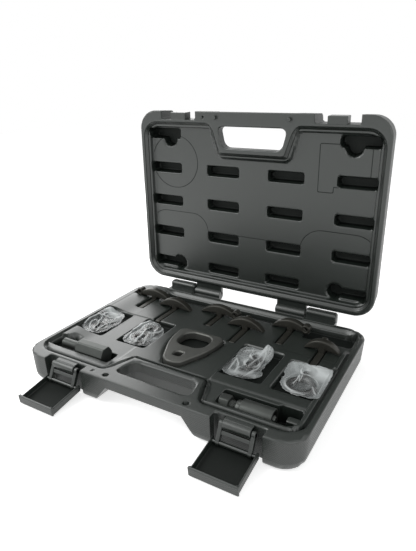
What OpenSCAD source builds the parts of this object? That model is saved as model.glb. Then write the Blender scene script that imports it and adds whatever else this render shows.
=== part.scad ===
// Ball joint separator set in its blow-moulded carrying case, lid open, latches dropped.
// Millimetres. Origin at the centre of the base underside, +X along the hinge, +Y to the back, +Z up.

/* [Case] */
// Width of the case along the hinge
case_w = 370; // [350:1:420]
// Depth of the case from handle side to hinge side
case_d = 268; // [255:1:310]
// Height of the base half
base_h = 38; // [34:0.5:50]
// Height of the lid half
lid_h = 37; // [35:0.5:50]
// Radius of the case corners seen from above
corner_r = 28; // [18:1:40]
// Skin thickness of the blown plastic
skin = 2.2; // [1.5:0.1:2.8]
// How far the side walls lean in towards the outer face
draft = 2; // [1:0.5:6]
// Rounding where the side walls meet the outer face
edge_round = 9; // [4:0.5:11]
// Width of the rim land at the sides and the back
rim_side = 10; // [7:0.5:12]
// Width of the rim land at the handle side
rim_front = 20; // [18:0.5:22]
// Depth of the tray surface below the base rim
tray_drop = 5; // [3:0.5:6]
// Depth of the lid panel behind the lid rim
lid_recess = 11; // [10.5:0.1:17]
// Gap between the two rims when the case is shut
parting = 0.4; // [0.3:0.1:0.8]

/* [Handle] */
// Width of the finger opening beside the grip bar
grip_near = 104; // [94:1:110]
// Width of the finger opening on the inner side
grip_far = 90; // [80:1:94]
// Depth of the finger opening
grip_depth = 30; // [26:1:34]
// Thickness of the grip bar half, down from the rim
grip_bar_h = 14; // [11:0.5:16]
// Rim land around the finger opening
grip_land = 12; // [9:0.5:14]

/* [Hinges] */
// Distance of the hinge axis behind the rim
hinge_back = 13; // [11:0.5:16]
// Opening angle at which the lid rests on its stop
lid_open = 88; // [80:1:100]
// Distance of each hinge's inner end from the end of the case
hinge_end = 138; // [129:1:145]
// Length of each hinge knuckle
knuckle_len = 45.5; // [36:0.5:48]
// Outer radius of a hinge knuckle
knuckle_r = 7; // [5:0.5:8]
// Diameter of the steel hinge pin
pin_d = 4; // [3:0.5:5]

/* [Latches] */
// Distance of each latch from the end of the case
latch_end = 68; // [61:1:73]
// Width of the latch recess in the front wall
latch_w = 58; // [56:0.5:62]
// Depth of the latch recess into the front wall
latch_in = 12; // [11:0.5:12.5]
// Width of the barrel that carries the link
barrel_w = 31; // [26:0.5:33]
// Radius of that barrel
barrel_r = 5.5; // [4.5:0.25:6]
// Height of the barrel axis below the rim
barrel_drop = 7; // [6.5:0.25:8]
// Drop of the flap axis below the barrel axis
link_drop = 18; // [16:0.5:18.5]
// Distance of the flap axis in front of the barrel axis
link_out = 8.5; // [7.5:0.5:10]
// Width of each link arm
link_arm = 4.5; // [3.5:0.25:5]
// Diameter of the link's stub pins
stub_d = 4; // [3:0.25:4.5]
// Width of the flap across its side walls
flap_w = 52; // [50.5:0.5:54]
// Length of the flap from its axis to its tip
flap_len = 45; // [43:0.5:50]
// Height of the flap's side walls and hook
flap_side = 6.5; // [5.5:0.25:7.5]
// Thickness of the flap's plate
flap_plate = 2.5; // [2:0.25:3]
// Width of the lug on the lid that the flap hooks over
lug_w = 25; // [20:0.5:30]

/* [Lid pockets] */
// Length of a lid pocket
cell_w = 52; // [44:0.5:56]
// Width of a lid pocket
cell_d = 15; // [12:0.5:18]
// Depth of a lid pocket behind the panel
cell_deep = 15; // [10:0.5:15.5]
// Room between the outer lid pockets and the side edges of the panel
cell_edge = 2.75; // [2.5:0.25:8]
// Row spacing of the lid pockets
cell_step_y = 52; // [48:0.5:54]
// Radius of the round ends on the four corner pockets
keyhole_r = 11.5; // [9:0.5:13]

/* [Tools] */
// Width of the yoke plate
yoke_w = 66; // [58:1:72]
// Length of the yoke plate
yoke_len = 86; // [78:1:92]
// Thickness of the yoke plate
yoke_t = 11; // [8:0.5:12]
// Width of the large opening in the yoke
yoke_eye_w = 42; // [36:1:44]
// Depth of the large opening in the yoke
yoke_eye_d = 37; // [32:1:40]
// Width across flats of the hex adapter
hex_af = 20; // [17:0.5:24]
// Length of the hex adapter's body
hex_len = 44; // [38:1:50]
// Diameter of the hex adapter's spigot
spigot_d = 12; // [10:0.5:15]
// Length of the hex adapter's spigot
spigot_len = 28; // [22:1:30]
// Outer diameter of the screw sleeve
sleeve_d = 24; // [21:0.5:26]
// Length of the screw sleeve's body
sleeve_len = 37; // [30:1:40]
// Length of the narrower collar on the sleeve
collar_len = 6; // [4:0.5:8]
// Diameter of the pressure screw's shank
screw_d = 14; // [10:0.5:16]
// Width across flats of the pressure screw's head
head_af = 19; // [16:0.5:22]
// Length of the pressure screw's head
head_len = 12; // [9:0.5:14]
// Length of thread that stands out of the sleeve
thread_len = 8; // [6:0.5:10]

/* [Puller legs] */
// Thickness of a leg's curved foot
foot_t = 11; // [9:0.5:12]
// Depth of the foot at its crown
crown = 9; // [7:0.5:10]
// Height of the foot's crown above the tray
foot_rise = 15; // [12:0.5:16]
// Width of a leg's stem
stem_w = 9; // [7:0.5:10]
// Height of a leg's stem
stem_h = 9; // [7:0.5:10]
// Diameter of the hole in a leg's eye
eye_d = 6; // [4:0.5:7]

/* [Hardware bags] */
// Thickness of a bag when filled
bag_h = 13; // [11:0.5:15]
// Wall of a bag
film = 0.6; // [0.4:0.1:0.8]
// Thickness of the rings in the bags
ring_t = 5; // [3:0.5:6]

/* [Fits] */
// Clearance between pieces that rest on or in one another
rest_gap = 0.3; // [0.2:0.05:0.5]
// Clearance around a tool in its pocket
tool_gap = 1.2; // [0.6:0.1:2]
// Radial clearance of a pin in its bore
run_gap = 0.05; // [0.02:0.01:0.1]

/* [Hidden] */
$fn = 48;

plastic = "#34383a";
phosphate = "#4b463f";
steel = "#8d9092";
clear_film = "#cfd6d8";

// A cut runs this far past the face it opens
over = 5;
half_w = case_w / 2;
half_d = case_d / 2;
// Axis of the hinge, in the case frame
hinge_y = half_d + hinge_back;
hinge_z = base_h;
hinge_x = half_w - hinge_end;
// The webs of the knuckles start inside the back wall, and the halves' knuckles clear each other
web_y = half_d - skin - draft;
knuckle_gap = 0.5;
pin_short = 2;
// Edges of the tray and of the lid panel
tray_x = half_w - rim_side;
tray_front = -half_d + rim_front;
tray_back = half_d - rim_side;
tray_z = base_h - tray_drop;
tray_r = 20;
// Finger opening: its inner edge, its corners, and the wedge of space under the grip bar
grip_y = tray_front + grip_depth;
grip_corner = 9;
under_slope = 0.8;
under_back = 8;
// The land round the opening narrows towards its inner corners
land_far = grip_land * 0.4;
land_back = grip_land * 0.8;
land_corner = 2;
// Corners of the tool pockets
pocket_r = 4;
// Latch axes
latch_x = half_w - latch_end;
barrel_y = -half_d + barrel_r + 0.5;
barrel_z = base_h - barrel_drop;
flap_y = barrel_y - link_out;
flap_z = barrel_z - link_drop;
// The link's arms, their ends round the flap axis, and the flap's plate outside them
arm_deep = 6;
link_end_r = arm_deep / 2 + 0.2;
link_bar_r = 2.5;
flap_in = link_end_r + rest_gap;
flap_out = flap_in + flap_plate;
floor_gap = 0.5;
flap_open = 90 + asin((flap_z - flap_out - floor_gap) / flap_len);
lug_z = flap_z + flap_len - flap_plate - 1 - base_h;
// The lug stands a little behind the front face
lug_set = 2.2;
// The lid's panel is welded to the foot of the wall round its recess
weld_gap = 0.02;
// Locating pegs of the lid and their holes, and the hole left by the blow needle
peg_x = grip_near / 2 + 3;
peg_y = -half_d + rim_front * 0.4;
peg_r = 3;
peg_h = 5;
peg_deep = peg_h + 1;
vent_x = peg_x + 20;
vent_r = 1.5;
// Columns of lid pockets, their first row in from the panel's back edge, and the keyholes' round ends
cell_step_x = (2 * (tray_x - cell_edge) - cell_w) / 3;
cell_row = tray_back - 16;
keyhole_in = 8;

// Replaces each corner of an outline by an arc of the given radius
function unit(v) = v / norm(v);
function corner(a, b, c, r, n = 6) =
    let (u = unit(a - b), v = unit(c - b), half = acos(u * v) / 2)
    let (mid = b + unit(u + v) * r / sin(half))
    let (p = b + u * r / tan(half) - mid, q = b + v * r / tan(half) - mid)
    let (from = atan2(p[1], p[0]), turn = atan2(p[0] * q[1] - p[1] * q[0], p * q))
    [for (i = [0 : n]) mid + r * [cos(from + turn * i / n), sin(from + turn * i / n)]];
function rounded(points, r) =
    let (n = len(points))
    [for (i = [0 : n - 1]) each corner(points[(i + n - 1) % n], points[i], points[(i + 1) % n], r)];

module rounded_rect(w, d, r) {
    square([w - 2 * r, d], center = true);
    square([w, d - 2 * r], center = true);
    for (x = [-1, 1], y = [-1, 1])
        translate([x * (w / 2 - r), y * (d / 2 - r)]) circle(r);
}

// A prism along Y or along X, drawn in the XZ or the YZ plane
module along_y(y0, y1) { translate([0, y1, 0]) rotate([90, 0, 0]) linear_extrude(y1 - y0) children(); }
module along_x(x0, x1) { translate([x0, 0, 0]) rotate([90, 0, 90]) linear_extrude(x1 - x0) children(); }
module rod_x(x0, x1, r) { translate([x0, 0, 0]) rotate([0, 90, 0]) cylinder(h = x1 - x0, r = r); }
module both_sides(x) { for (side = [-1, 1]) translate([side * x, 0, 0]) children(); }

// Case halves

// One half of the case, rim at z = 0 and outer face at z = -h, drawn in by g on every side
module half_form(h, g) {
    layer = 0.1;
    mid = edge_round * (1 - sqrt(0.5));
    hull() {
        half_layer(-h * 0.3, h * 0.3 - g, g);
        half_layer(-h + edge_round, layer, draft + g);
        half_layer(-h + mid + g * sqrt(0.5), layer, draft + mid + g);
        half_layer(-h + g, layer, draft + edge_round + g);
    }
}

module half_layer(z, thick, inset) {
    translate([0, 0, z]) linear_extrude(thick)
        rounded_rect(case_w - 2 * inset, case_d - 2 * inset, corner_r - inset / 2, $fn = 64);
}

// Finger opening and the space under the grip bar, grown by g
module grip_cut(h, g) {
    translate([0, 0, -h - over]) linear_extrude(h + 2 * over)
        polygon(rounded([
            [-grip_near / 2 - g, tray_front - g], [grip_near / 2 + g, tray_front - g],
            [grip_far / 2 + g, grip_y + g], [-grip_far / 2 - g, grip_y + g]
        ], grip_corner + g));
    top = grip_near / 2 + g;
    foot = top + (h - grip_bar_h) * under_slope;
    along_y(-half_d - over, grip_y - under_back)
        polygon([
            [-foot, -h - over], [foot, -h - over], [foot, -h],
            [top, -grip_bar_h + g], [-top, -grip_bar_h + g], [-foot, -h]
        ]);
}

// The recess inside the rim, which bends round the finger opening, grown by g
module inner_recess(depth, g) {
    near = grip_near / 2 + grip_land - g;
    far = grip_far / 2 + land_far - g;
    back = grip_y + land_back - g;
    start = tray_front - 4 * g - over;
    difference() {
        translate([0, (tray_front + tray_back) / 2, -depth - g]) linear_extrude(depth + g + over)
            rounded_rect(2 * (tray_x + g), tray_back - tray_front + 2 * g, tray_r + g);
        translate([0, 0, -depth - g - over]) linear_extrude(depth + g + 3 * over)
            polygon(rounded([
                [-near, start], [near, start], [near, tray_front],
                [far, back], [-far, back], [-near, tray_front]
            ], land_corner));
    }
}

// A pocket with round corners sunk from the rim
module pocket(x, y, w, d, depth, r, g) {
    translate([x, y, -depth - g]) linear_extrude(depth + g + over)
        rounded_rect(w + 2 * g, d + 2 * g, r + g);
}

module round_pocket(x, y, r, depth, g) {
    translate([x, y, -depth - g]) cylinder(h = depth + g + over, r = r + g);
}

// Latch recess, open at the front, above and below
module latch_cut(h, depth, g) {
    both_sides(latch_x)
        translate([-latch_w / 2 - g, -half_d - over, -depth - g])
            cube([latch_w + 2 * g, over + latch_in + g, depth + g + over]);
}

// Hinge knuckle of the base with the web that joins it to the back wall
module knuckle() {
    x0 = hinge_x + knuckle_len;
    translate([0, hinge_y, 0]) rod_x(x0, x0 + knuckle_len, knuckle_r);
    translate([x0, web_y, -knuckle_r]) cube([knuckle_len, hinge_y - web_y, knuckle_r]);
}

module pin_bores() {
    translate([0, hinge_y, 0]) rod_x(-half_w, half_w, pin_d / 2 + run_gap);
}

// Tool places

// Place along the case, set out from one of its ends or from the middle
function set_out(side, at) = side == 0 ? at : side * (half_w - at);

// Each leg: the end of the case it is set out from (0 for the middle) and its distance from there
leg_side = [-1, -1, 0, 0, 1, 1];
leg_at = [45, 94, -20, 31, 98, 42];
leg_x = [for (i = [0 : 5]) set_out(leg_side[i], leg_at[i])];
// Row, span, stem and the side of the eye (0 for a leg with a boss)
leg_y = [98, 82, 94, 74, 101, 64];
leg_span = [64, 56, 62, 55, 54, 46];
leg_stem = [36, 45, 34, 41, 41, 34];
leg_eye = [-1, 0, 1, 0, 1, 0];
// Height of the feet's points and depth of the stems
foot_z = tray_z + rest_gap;
stem_top = tray_drop + 1;
slot_floor = stem_top + stem_h + rest_gap;
// Wall round an eye and its distance from the foot's point, and the length of a boss
eye_wall = 3;
eye_in = 5;
boss_len = 4;

// Bags: end of the case and distance from it, row, width and depth of each
bag_side = [-1, -1, 0, 1];
bag_at = [31, 103, 78, 40];
bag_x = [for (i = [0 : 3]) set_out(bag_side[i], bag_at[i])];
bag_y = [-8, -7, -9, -13];
bag_w = [44, 44, 52, 52];
bag_d = [72, 74, 74, 68];
bag_floor = tray_drop + bag_h * 0.6;
// Height of the seam where the bag is widest; its mouth at the back is left open as a slit
bag_seam = bag_h * 0.45;

yoke_x = -8;
yoke_y = -20;
yoke_floor = tray_drop + yoke_t * 0.5;
// Half width of the yoke's blunt apex, its corners, and the walls and corners of its two openings
yoke_tip = yoke_w * 0.17;
yoke_corner = 9;
yoke_wall = 6;
yoke_eye_r = 14;
yoke_hole = 11;
yoke_hole_r = 3;
yoke_hole_in = 21;

hex_r = hex_af / sqrt(3);
hex_at = 27;
hex_front = 47;
hex_x = -half_w + hex_at;
hex_y = -half_d + hex_front;
hex_axis = tray_z + 2;
hex_floor = base_h - hex_axis + hex_af / 2 + rest_gap;
hex_end = hex_x + spigot_len + hex_len;
// Cone between the adapter's spigot and its body
neck_len = 6;
// Room to get a finger in past the two ends of the adapter, and a thumb scallop behind its spigot
hex_room = 15;
finger_room = 8;
scallop_r = 10;

sleeve_front = 46;
screw_at = 108;
sleeve_y = -half_d + sleeve_front;
screw_x = half_w - screw_at;
sleeve_axis = tray_z - 9;
sleeve_floor = base_h - sleeve_axis + sleeve_d / 2 + rest_gap;
sleeve_x = screw_x + head_len + thread_len;
sleeve_end = sleeve_x + collar_len + sleeve_len;
collar_step = 3;
// The screw's cone point starts inside the sleeve and stands out of it
tip_in = 4;
tip_len = 6;
// Finger recess past the sleeve, a little wider than it, with a tongue standing in its far end
finger_w = 29;
finger_wide = 7;
finger_x = sleeve_end + finger_w / 2 - 2;
finger_y = sleeve_y + 2;
tongue_w = 15;
tongue_d = 10;
tongue_low = 3;
tongue_x = finger_x + finger_w / 2 - tongue_w / 2 + 1;
// Trough behind the feet, and the wider well in the back right corner
trough_d = 17;
trough_deep = 8;
trough_in = 2;
trough_end = 42;
trough_back = tray_back - trough_in;
well_x = half_w - 76;
well_d = 36;
// Corners of the slots that hold the legs' stems
slot_r = 1;

// Outline of the yoke about its own middle, apex to the front
function yoke_points(g) = rounded([
    [-yoke_w / 2 - g * 1.3, yoke_len / 2 + g], [yoke_w / 2 + g * 1.3, yoke_len / 2 + g],
    [yoke_w / 2 + g, yoke_len * 0.1], [yoke_tip, -yoke_len / 2 - g],
    [-yoke_tip, -yoke_len / 2 - g], [-yoke_w / 2 - g, yoke_len * 0.1]
], yoke_corner);

// Everything sunk into the base, grown by g
module tray_cut(g) {
    inner_recess(tray_drop, g);
    around = 2 * tool_gap;
    for (i = [0 : 3])
        pocket(bag_x[i], bag_y[i], bag_w[i] + around, bag_d[i] + around, bag_floor + rest_gap, pocket_r, g);
    translate([yoke_x, yoke_y, -yoke_floor - rest_gap - g])
        linear_extrude(yoke_floor + rest_gap + g + over) polygon(yoke_points(tool_gap + g));
    hex_from = hex_x - hex_room;
    hex_to = hex_end + finger_room;
    pocket((hex_from + hex_to) / 2, hex_y, hex_to - hex_from, 2 * hex_r + around, hex_floor, pocket_r, g);
    round_pocket(hex_x + scallop_r / 2, hex_y + hex_r, scallop_r, hex_floor, g);
    pocket((screw_x + sleeve_end) / 2, sleeve_y, sleeve_end - screw_x + around, sleeve_d + around,
           sleeve_floor, pocket_r / 2, g);
    pocket(finger_x, finger_y, finger_w, sleeve_d + finger_wide, sleeve_floor, 2 * pocket_r, g);
    for (i = [0 : 5])
        pocket(leg_x[i], leg_y[i] - leg_stem[i] / 2, stem_w + around, leg_stem[i] + foot_t + around,
               slot_floor, slot_r, g);
    trough_x = -tray_x + trough_end;
    pocket((well_x + trough_x) / 2, trough_back - trough_d / 2, well_x - trough_x, trough_d,
           tray_drop + trough_deep, pocket_r, g);
    pocket((well_x + tray_x) / 2 - trough_in, trough_back - well_d / 2, tray_x - well_x, well_d,
           tray_drop + trough_deep, pocket_r, g);
}

module case_base() color(plastic) translate([0, 0, base_h]) {
    difference() {
        union() {
            half_form(base_h, 0);
            knuckle();
            mirror([1, 0, 0]) knuckle();
        }
        base_void();
        tray_cut(0);
        grip_cut(base_h, 0);
        latch_cut(base_h, base_h + over, 0);
        pin_bores();
        both_sides(peg_x) round_pocket(0, peg_y, peg_r + rest_gap, peg_deep, 0);
        translate([-vent_x, peg_y, -2 * skin]) cylinder(h = 3 * skin, r = vent_r);
    }
    both_sides(latch_x) link_barrel();
    translate([tongue_x, finger_y, -sleeve_floor - skin / 2])
        linear_extrude(sleeve_floor + skin / 2 - tray_drop - tongue_low)
            rounded_rect(tongue_w, tongue_d, tongue_d / 2 - 0.5);
}

module base_void() {
    difference() {
        half_form(base_h, skin);
        tray_cut(skin);
        grip_cut(base_h, skin);
        latch_cut(base_h, base_h + over, skin);
        both_sides(peg_x) round_pocket(0, peg_y, peg_r + rest_gap, peg_deep, skin);
    }
}

// Moulded barrel with blind bores at its ends for the link's stubs
module link_barrel() {
    translate([0, barrel_y, -barrel_drop]) difference() {
        union() {
            rod_x(-barrel_w / 2, barrel_w / 2, barrel_r);
            translate([-barrel_w / 2, 0, -barrel_r])
                cube([barrel_w, -half_d + latch_in + skin / 2 - barrel_y, barrel_r + barrel_drop - 1]);
        }
        for (side = [-1, 1])
            translate([side * (barrel_w / 2 - stub_d), 0, 0])
                rod_x(-stub_d * 1.2, stub_d * 1.2, stub_d / 2 + run_gap);
    }
}

// Pocket pattern of the lid, grown by g
module lid_cut(g) {
    deep = lid_recess + cell_deep;
    last_row = cell_row - 4 * cell_step_y;
    inner_recess(lid_recess, g);
    for (col = [-1.5 : 1 : 1.5], row = [0 : 3])
        pocket(col * cell_step_x, cell_row - row * cell_step_y, cell_w, cell_d, deep, pocket_r, g);
    for (side = [-1, 1]) {
        outer = side * 1.5 * cell_step_x;
        pocket(outer, last_row, cell_w, cell_d, deep, pocket_r, g);
        round_pocket(outer - side * keyhole_in, last_row + cell_d / 2, keyhole_r, deep, g);
        round_pocket(outer - side * (cell_w / 2 - keyhole_in), cell_row, keyhole_r, deep, g);
    }
}

// Outer skin of the lid in its shut place, rim at z = 0 and outer face upwards
module lid_shut() {
    difference() {
        union() {
            mirror([0, 0, 1]) half_form(lid_h, 0);
            translate([0, 0, -parting]) {
                knuckle_lid();
                mirror([1, 0, 0]) knuckle_lid();
            }
        }
        mirror([0, 0, 1]) {
            lid_void();
            inner_recess(lid_recess, 0);
            grip_cut(lid_h, 0);
            latch_cut(lid_h, lid_h + over, 0);
        }
        translate([0, 0, -parting]) pin_bores();
        translate([-vent_x, peg_y, -skin]) cylinder(h = 3 * skin, r = vent_r);
    }
    both_sides(latch_x) lid_lug();
    both_sides(peg_x) translate([0, peg_y, -peg_h]) cylinder(h = peg_h + skin / 2, r = peg_r);
}

module knuckle_lid() {
    long = knuckle_len - knuckle_gap;
    translate([0, hinge_y, 0]) rod_x(hinge_x, hinge_x + long, knuckle_r);
    translate([hinge_x, web_y, parting]) cube([long, hinge_y - web_y, knuckle_r - parting]);
}

// Hollow behind the panel; the wall round the recess reaches down to the panel
module lid_void() {
    difference() {
        half_form(lid_h, skin);
        inner_recess(lid_recess - skin, skin);
        grip_cut(lid_h, skin);
        latch_cut(lid_h, lid_h + over, skin);
    }
}

// Lug between the two latch notches that the flap's hook pulls down on
module lid_lug() {
    translate([-lug_w / 2, -half_d + lug_set, 0]) cube([lug_w, latch_in - lug_set + skin / 2, lug_z]);
}

module swung_open() {
    translate([0, hinge_y, hinge_z]) rotate([-lid_open, 0, 0]) translate([0, -hinge_y, parting]) children();
}

module case_lid() color(plastic) swung_open() lid_shut();

// Inner skin of the lid with its pockets
module lid_panel() color(plastic) swung_open() mirror([0, 0, 1]) difference() {
    intersection() {
        lid_cut(skin);
        translate([-half_w, -half_d, -lid_h]) cube([case_w, case_d, lid_h - lid_recess - weld_gap]);
    }
    lid_cut(0);
    grip_cut(lid_h, skin + weld_gap);
}

module hinge_pin(side) color(steel)
    translate([side * (hinge_x + knuckle_len), hinge_y, hinge_z])
        rod_x(-knuckle_len + pin_short, knuckle_len - pin_short, pin_d / 2);
module hinge_pin_left() hinge_pin(-1);
module hinge_pin_right() hinge_pin(1);

// Latches

arm_in = barrel_w / 2 + rest_gap;
arm_out = arm_in + link_arm;
link_eye_r = 3.6;
// The eyes stand a little proud of the arms, and the bars between the arms run this far into them
eye_proud = 0.2;
bar_in = 1;
// The link's middle bar, below the barrel
cross_drop = barrel_r + 1;
cross_h = 4.5;
cross_t = 4;
// The flap's ears and side walls, the tail below its axis, and its hook
ear_t = 2;
ear_r = 4;
ear_in = flap_w / 2 - ear_t;
stub_out = ear_in + 1.7;
lip_over = 1;
hook_over = 3;

module latch_link(side) color(plastic) translate([side * latch_x, barrel_y, barrel_z]) {
    lean = atan2(link_out, link_drop);
    long = norm([link_out, link_drop]);
    for (s = [0, 1]) mirror([s, 0, 0]) {
        rod_x(arm_in, arm_out, link_eye_r);
        rod_x(arm_in - stub_d, arm_in + bar_in, stub_d / 2);
        rotate([-lean, 0, 0]) {
            translate([arm_in + eye_proud, -arm_deep / 2, -long])
                cube([link_arm - 2 * eye_proud, arm_deep, long]);
            translate([0, 0, -long]) {
                rod_x(arm_in, arm_out, link_end_r);
                rod_x(arm_out - bar_in, stub_out, stub_d / 2);
            }
        }
    }
    rotate([-lean, 0, 0]) {
        translate([0, 0, -long]) rod_x(-arm_in - bar_in, arm_in + bar_in, link_bar_r);
        translate([-arm_in - bar_in, -cross_t / 2, -cross_drop - cross_h])
            cube([2 * (arm_in + bar_in), cross_t, cross_h]);
    }
}
module latch_link_left() latch_link(-1);
module latch_link_right() latch_link(1);

// Drawn shut, tip upwards and plate to the front, then dropped to its open place
module latch_flap(side) color(plastic)
    translate([side * latch_x, flap_y, flap_z]) rotate([flap_open, 0, 0]) difference() {
        union() {
            translate([-flap_w / 2, -flap_out, -ear_r]) cube([flap_w, flap_plate, flap_len + ear_r]);
            for (s = [0, 1]) mirror([s, 0, 0]) {
                translate([ear_in, -flap_out, 0]) cube([ear_t, flap_plate + flap_side, flap_len]);
                rod_x(ear_in, flap_w / 2, ear_r);
                translate([ear_in, -flap_out, -ear_r]) cube([ear_t, flap_out, ear_r]);
            }
            translate([-flap_w / 2 - lip_over, -flap_out, flap_len - flap_plate])
                cube([flap_w + 2 * lip_over, flap_plate + flap_side + hook_over, flap_plate]);
        }
        rod_x(-flap_w, flap_w, stub_d / 2 + run_gap);
    }
module latch_flap_left() latch_flap(-1);
module latch_flap_right() latch_flap(1);

// Tools

module yoke_plate() color(phosphate)
    translate([yoke_x, yoke_y, base_h - yoke_floor]) linear_extrude(yoke_t) difference() {
        polygon(yoke_points(0));
        translate([0, yoke_len / 2 - yoke_wall - yoke_eye_d / 2])
            rounded_rect(yoke_eye_w, yoke_eye_d, yoke_eye_r);
        translate([0, -yoke_len / 2 + yoke_hole_in]) rounded_rect(yoke_hole, yoke_hole, yoke_hole_r);
    }

module hex_adapter() color(phosphate) translate([hex_x, hex_y, hex_axis]) {
    rod_x(0, spigot_len, spigot_d / 2);
    translate([spigot_len - neck_len, 0, 0]) rotate([0, 90, 0])
        cylinder(h = neck_len, r1 = spigot_d / 2, r2 = hex_af / 2);
    along_x(spigot_len, spigot_len + hex_len) circle(hex_r, $fn = 6);
}

module screw_sleeve() color(phosphate) translate([sleeve_x, sleeve_y, sleeve_axis]) difference() {
    union() {
        rod_x(0, collar_len, sleeve_d / 2 - collar_step);
        rod_x(collar_len, collar_len + sleeve_len, sleeve_d / 2);
    }
    rod_x(-over, collar_len + sleeve_len + over, screw_d / 2 + run_gap);
}

module pressure_screw() color(phosphate) translate([screw_x, sleeve_y, sleeve_axis]) {
    along_x(0, head_len) circle(head_af / sqrt(3), $fn = 6);
    tip = head_len + thread_len + collar_len + sleeve_len;
    rod_x(head_len, tip - tip_in, screw_d / 2);
    translate([tip - tip_in, 0, 0]) rotate([0, 90, 0])
        cylinder(h = tip_len, r1 = screw_d / 2, r2 = screw_d / 4);
}

// Forged leg: a crescent foot standing across a straight stem that lies in its slot
module puller_leg(i) color(phosphate) translate([leg_x[i], leg_y[i], foot_z]) {
    half = leg_span[i] / 2;
    rise = foot_rise;
    out_r = (half * half + rise * rise) / (2 * rise);
    low = rise - crown;
    in_r = (half * half + low * low) / (2 * low);
    difference() {
        along_y(-foot_t / 2, foot_t / 2) difference() {
            intersection() {
                translate([0, rise - out_r]) circle(out_r, $fn = 96);
                translate([-half, 0]) square([2 * half, rise + 1]);
            }
            translate([0, low - in_r]) circle(in_r, $fn = 96);
        }
        if (leg_eye[i] != 0) leg_eye_place(i) rotate([90, 0, 0])
            cylinder(h = 4 * foot_t, r = eye_d / 2, center = true);
    }
    if (leg_eye[i] != 0) leg_eye_place(i) rotate([90, 0, 0]) difference() {
        cylinder(h = foot_t, r = eye_d / 2 + eye_wall, center = true);
        cylinder(h = 2 * foot_t, r = eye_d / 2, center = true);
    }
    if (leg_eye[i] == 0) translate([0, foot_t / 2 - 1, rise - crown / 2]) rotate([-90, 0, 0])
        cylinder(h = boss_len + 1, r = crown / 2);
    stem_z = base_h - slot_floor + rest_gap - foot_z;
    translate([-stem_w / 2, -foot_t / 2, stem_z]) cube([stem_w, foot_t, low + crown / 2 - stem_z]);
    translate([-stem_w / 2, -leg_stem[i] - foot_t / 2, stem_z]) cube([stem_w, leg_stem[i] + 1, stem_h]);
}
module leg_eye_place(i)
    translate([leg_eye[i] * (leg_span[i] / 2 - eye_in), 0, eye_d / 2 + eye_wall]) children();

module puller_leg_1() puller_leg(0);
module puller_leg_2() puller_leg(1);
module puller_leg_3() puller_leg(2);
module puller_leg_4() puller_leg(3);
module puller_leg_5() puller_leg(4);
module puller_leg_6() puller_leg(5);

// Hardware bags

// Rings in each bag: distance along the bag, outer and inner radius
bag_rings = [
    [[-13.5, 12.5, 8], [13.5, 12.5, 8]],
    [[-13.5, 13, 9], [13.5, 13, 9]],
    [[-18, 8, 4], [0, 8, 4], [18, 8, 4]],
    [[-8, 17, 12], [18, 7, 3.5]]
];

// Pillow form of a filled bag, drawn in by g
module bag_form(i, g) {
    hull() {
        bag_layer(i, g, 0.8, g);
        bag_layer(i, bag_seam, 1, g);
        bag_layer(i, bag_h - g - 0.1, 0.7, g);
    }
}

module bag_layer(i, z, share, g) {
    translate([0, 0, z]) linear_extrude(0.1)
        rounded_rect(bag_w[i] * share - 2 * g, bag_d[i] * share - 2 * g, 5, $fn = 32);
}

module parts_bag(i) color(clear_film, 0.5) translate([bag_x[i], bag_y[i], base_h - bag_floor]) difference() {
    bag_form(i, 0);
    bag_form(i, film);
    translate([-bag_w[i] * 0.3, bag_d[i] / 2 - over, bag_seam - 0.3])
        cube([bag_w[i] * 0.6, 2 * over, 0.8]);
}

module ring(i, k) color(phosphate)
    translate([bag_x[i], bag_y[i] + bag_rings[i][k][0], base_h - bag_floor + film + rest_gap]) difference() {
        cylinder(h = ring_t, r = bag_rings[i][k][1]);
        translate([0, 0, -over]) cylinder(h = ring_t + 2 * over, r = bag_rings[i][k][2]);
    }

module parts_bag_1() parts_bag(0);
module parts_bag_2() parts_bag(1);
module parts_bag_3() parts_bag(2);
module parts_bag_4() parts_bag(3);
module ring_1a() ring(0, 0);
module ring_1b() ring(0, 1);
module ring_2a() ring(1, 0);
module ring_2b() ring(1, 1);
module ring_3a() ring(2, 0);
module ring_3b() ring(2, 1);
module ring_3c() ring(2, 2);
module ring_4a() ring(3, 0);
module ring_4b() ring(3, 1);

case_base();
case_lid();
lid_panel();
hinge_pin_left();
hinge_pin_right();
latch_link_left();
latch_link_right();
latch_flap_left();
latch_flap_right();
yoke_plate();
hex_adapter();
screw_sleeve();
pressure_screw();
puller_leg_1();
puller_leg_2();
puller_leg_3();
puller_leg_4();
puller_leg_5();
puller_leg_6();
parts_bag_1();
parts_bag_2();
parts_bag_3();
parts_bag_4();
ring_1a();
ring_1b();
ring_2a();
ring_2b();
ring_3a();
ring_3b();
ring_3c();
ring_4a();
ring_4b();
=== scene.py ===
import bpy
import numpy as np
from mathutils import Matrix


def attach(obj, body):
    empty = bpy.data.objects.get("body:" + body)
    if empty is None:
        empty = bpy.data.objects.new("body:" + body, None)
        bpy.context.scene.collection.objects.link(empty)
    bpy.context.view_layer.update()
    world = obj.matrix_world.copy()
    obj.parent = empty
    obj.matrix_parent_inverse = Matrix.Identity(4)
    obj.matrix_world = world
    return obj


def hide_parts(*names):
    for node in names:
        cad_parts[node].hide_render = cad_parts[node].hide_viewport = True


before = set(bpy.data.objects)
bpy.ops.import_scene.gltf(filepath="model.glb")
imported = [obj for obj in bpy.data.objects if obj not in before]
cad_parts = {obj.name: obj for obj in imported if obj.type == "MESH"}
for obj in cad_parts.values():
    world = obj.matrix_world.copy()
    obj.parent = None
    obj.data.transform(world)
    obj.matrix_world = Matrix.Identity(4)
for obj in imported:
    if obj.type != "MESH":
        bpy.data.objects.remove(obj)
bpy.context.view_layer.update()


# Studio: the photograph's camera, a pale floor, a white world and soft lamps.
# The lens, place and tilt are those of the photograph's view of the open case.
MM = 0.001
VIEW_FROM = np.array([296.1, -509.4, 356.5])
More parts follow.
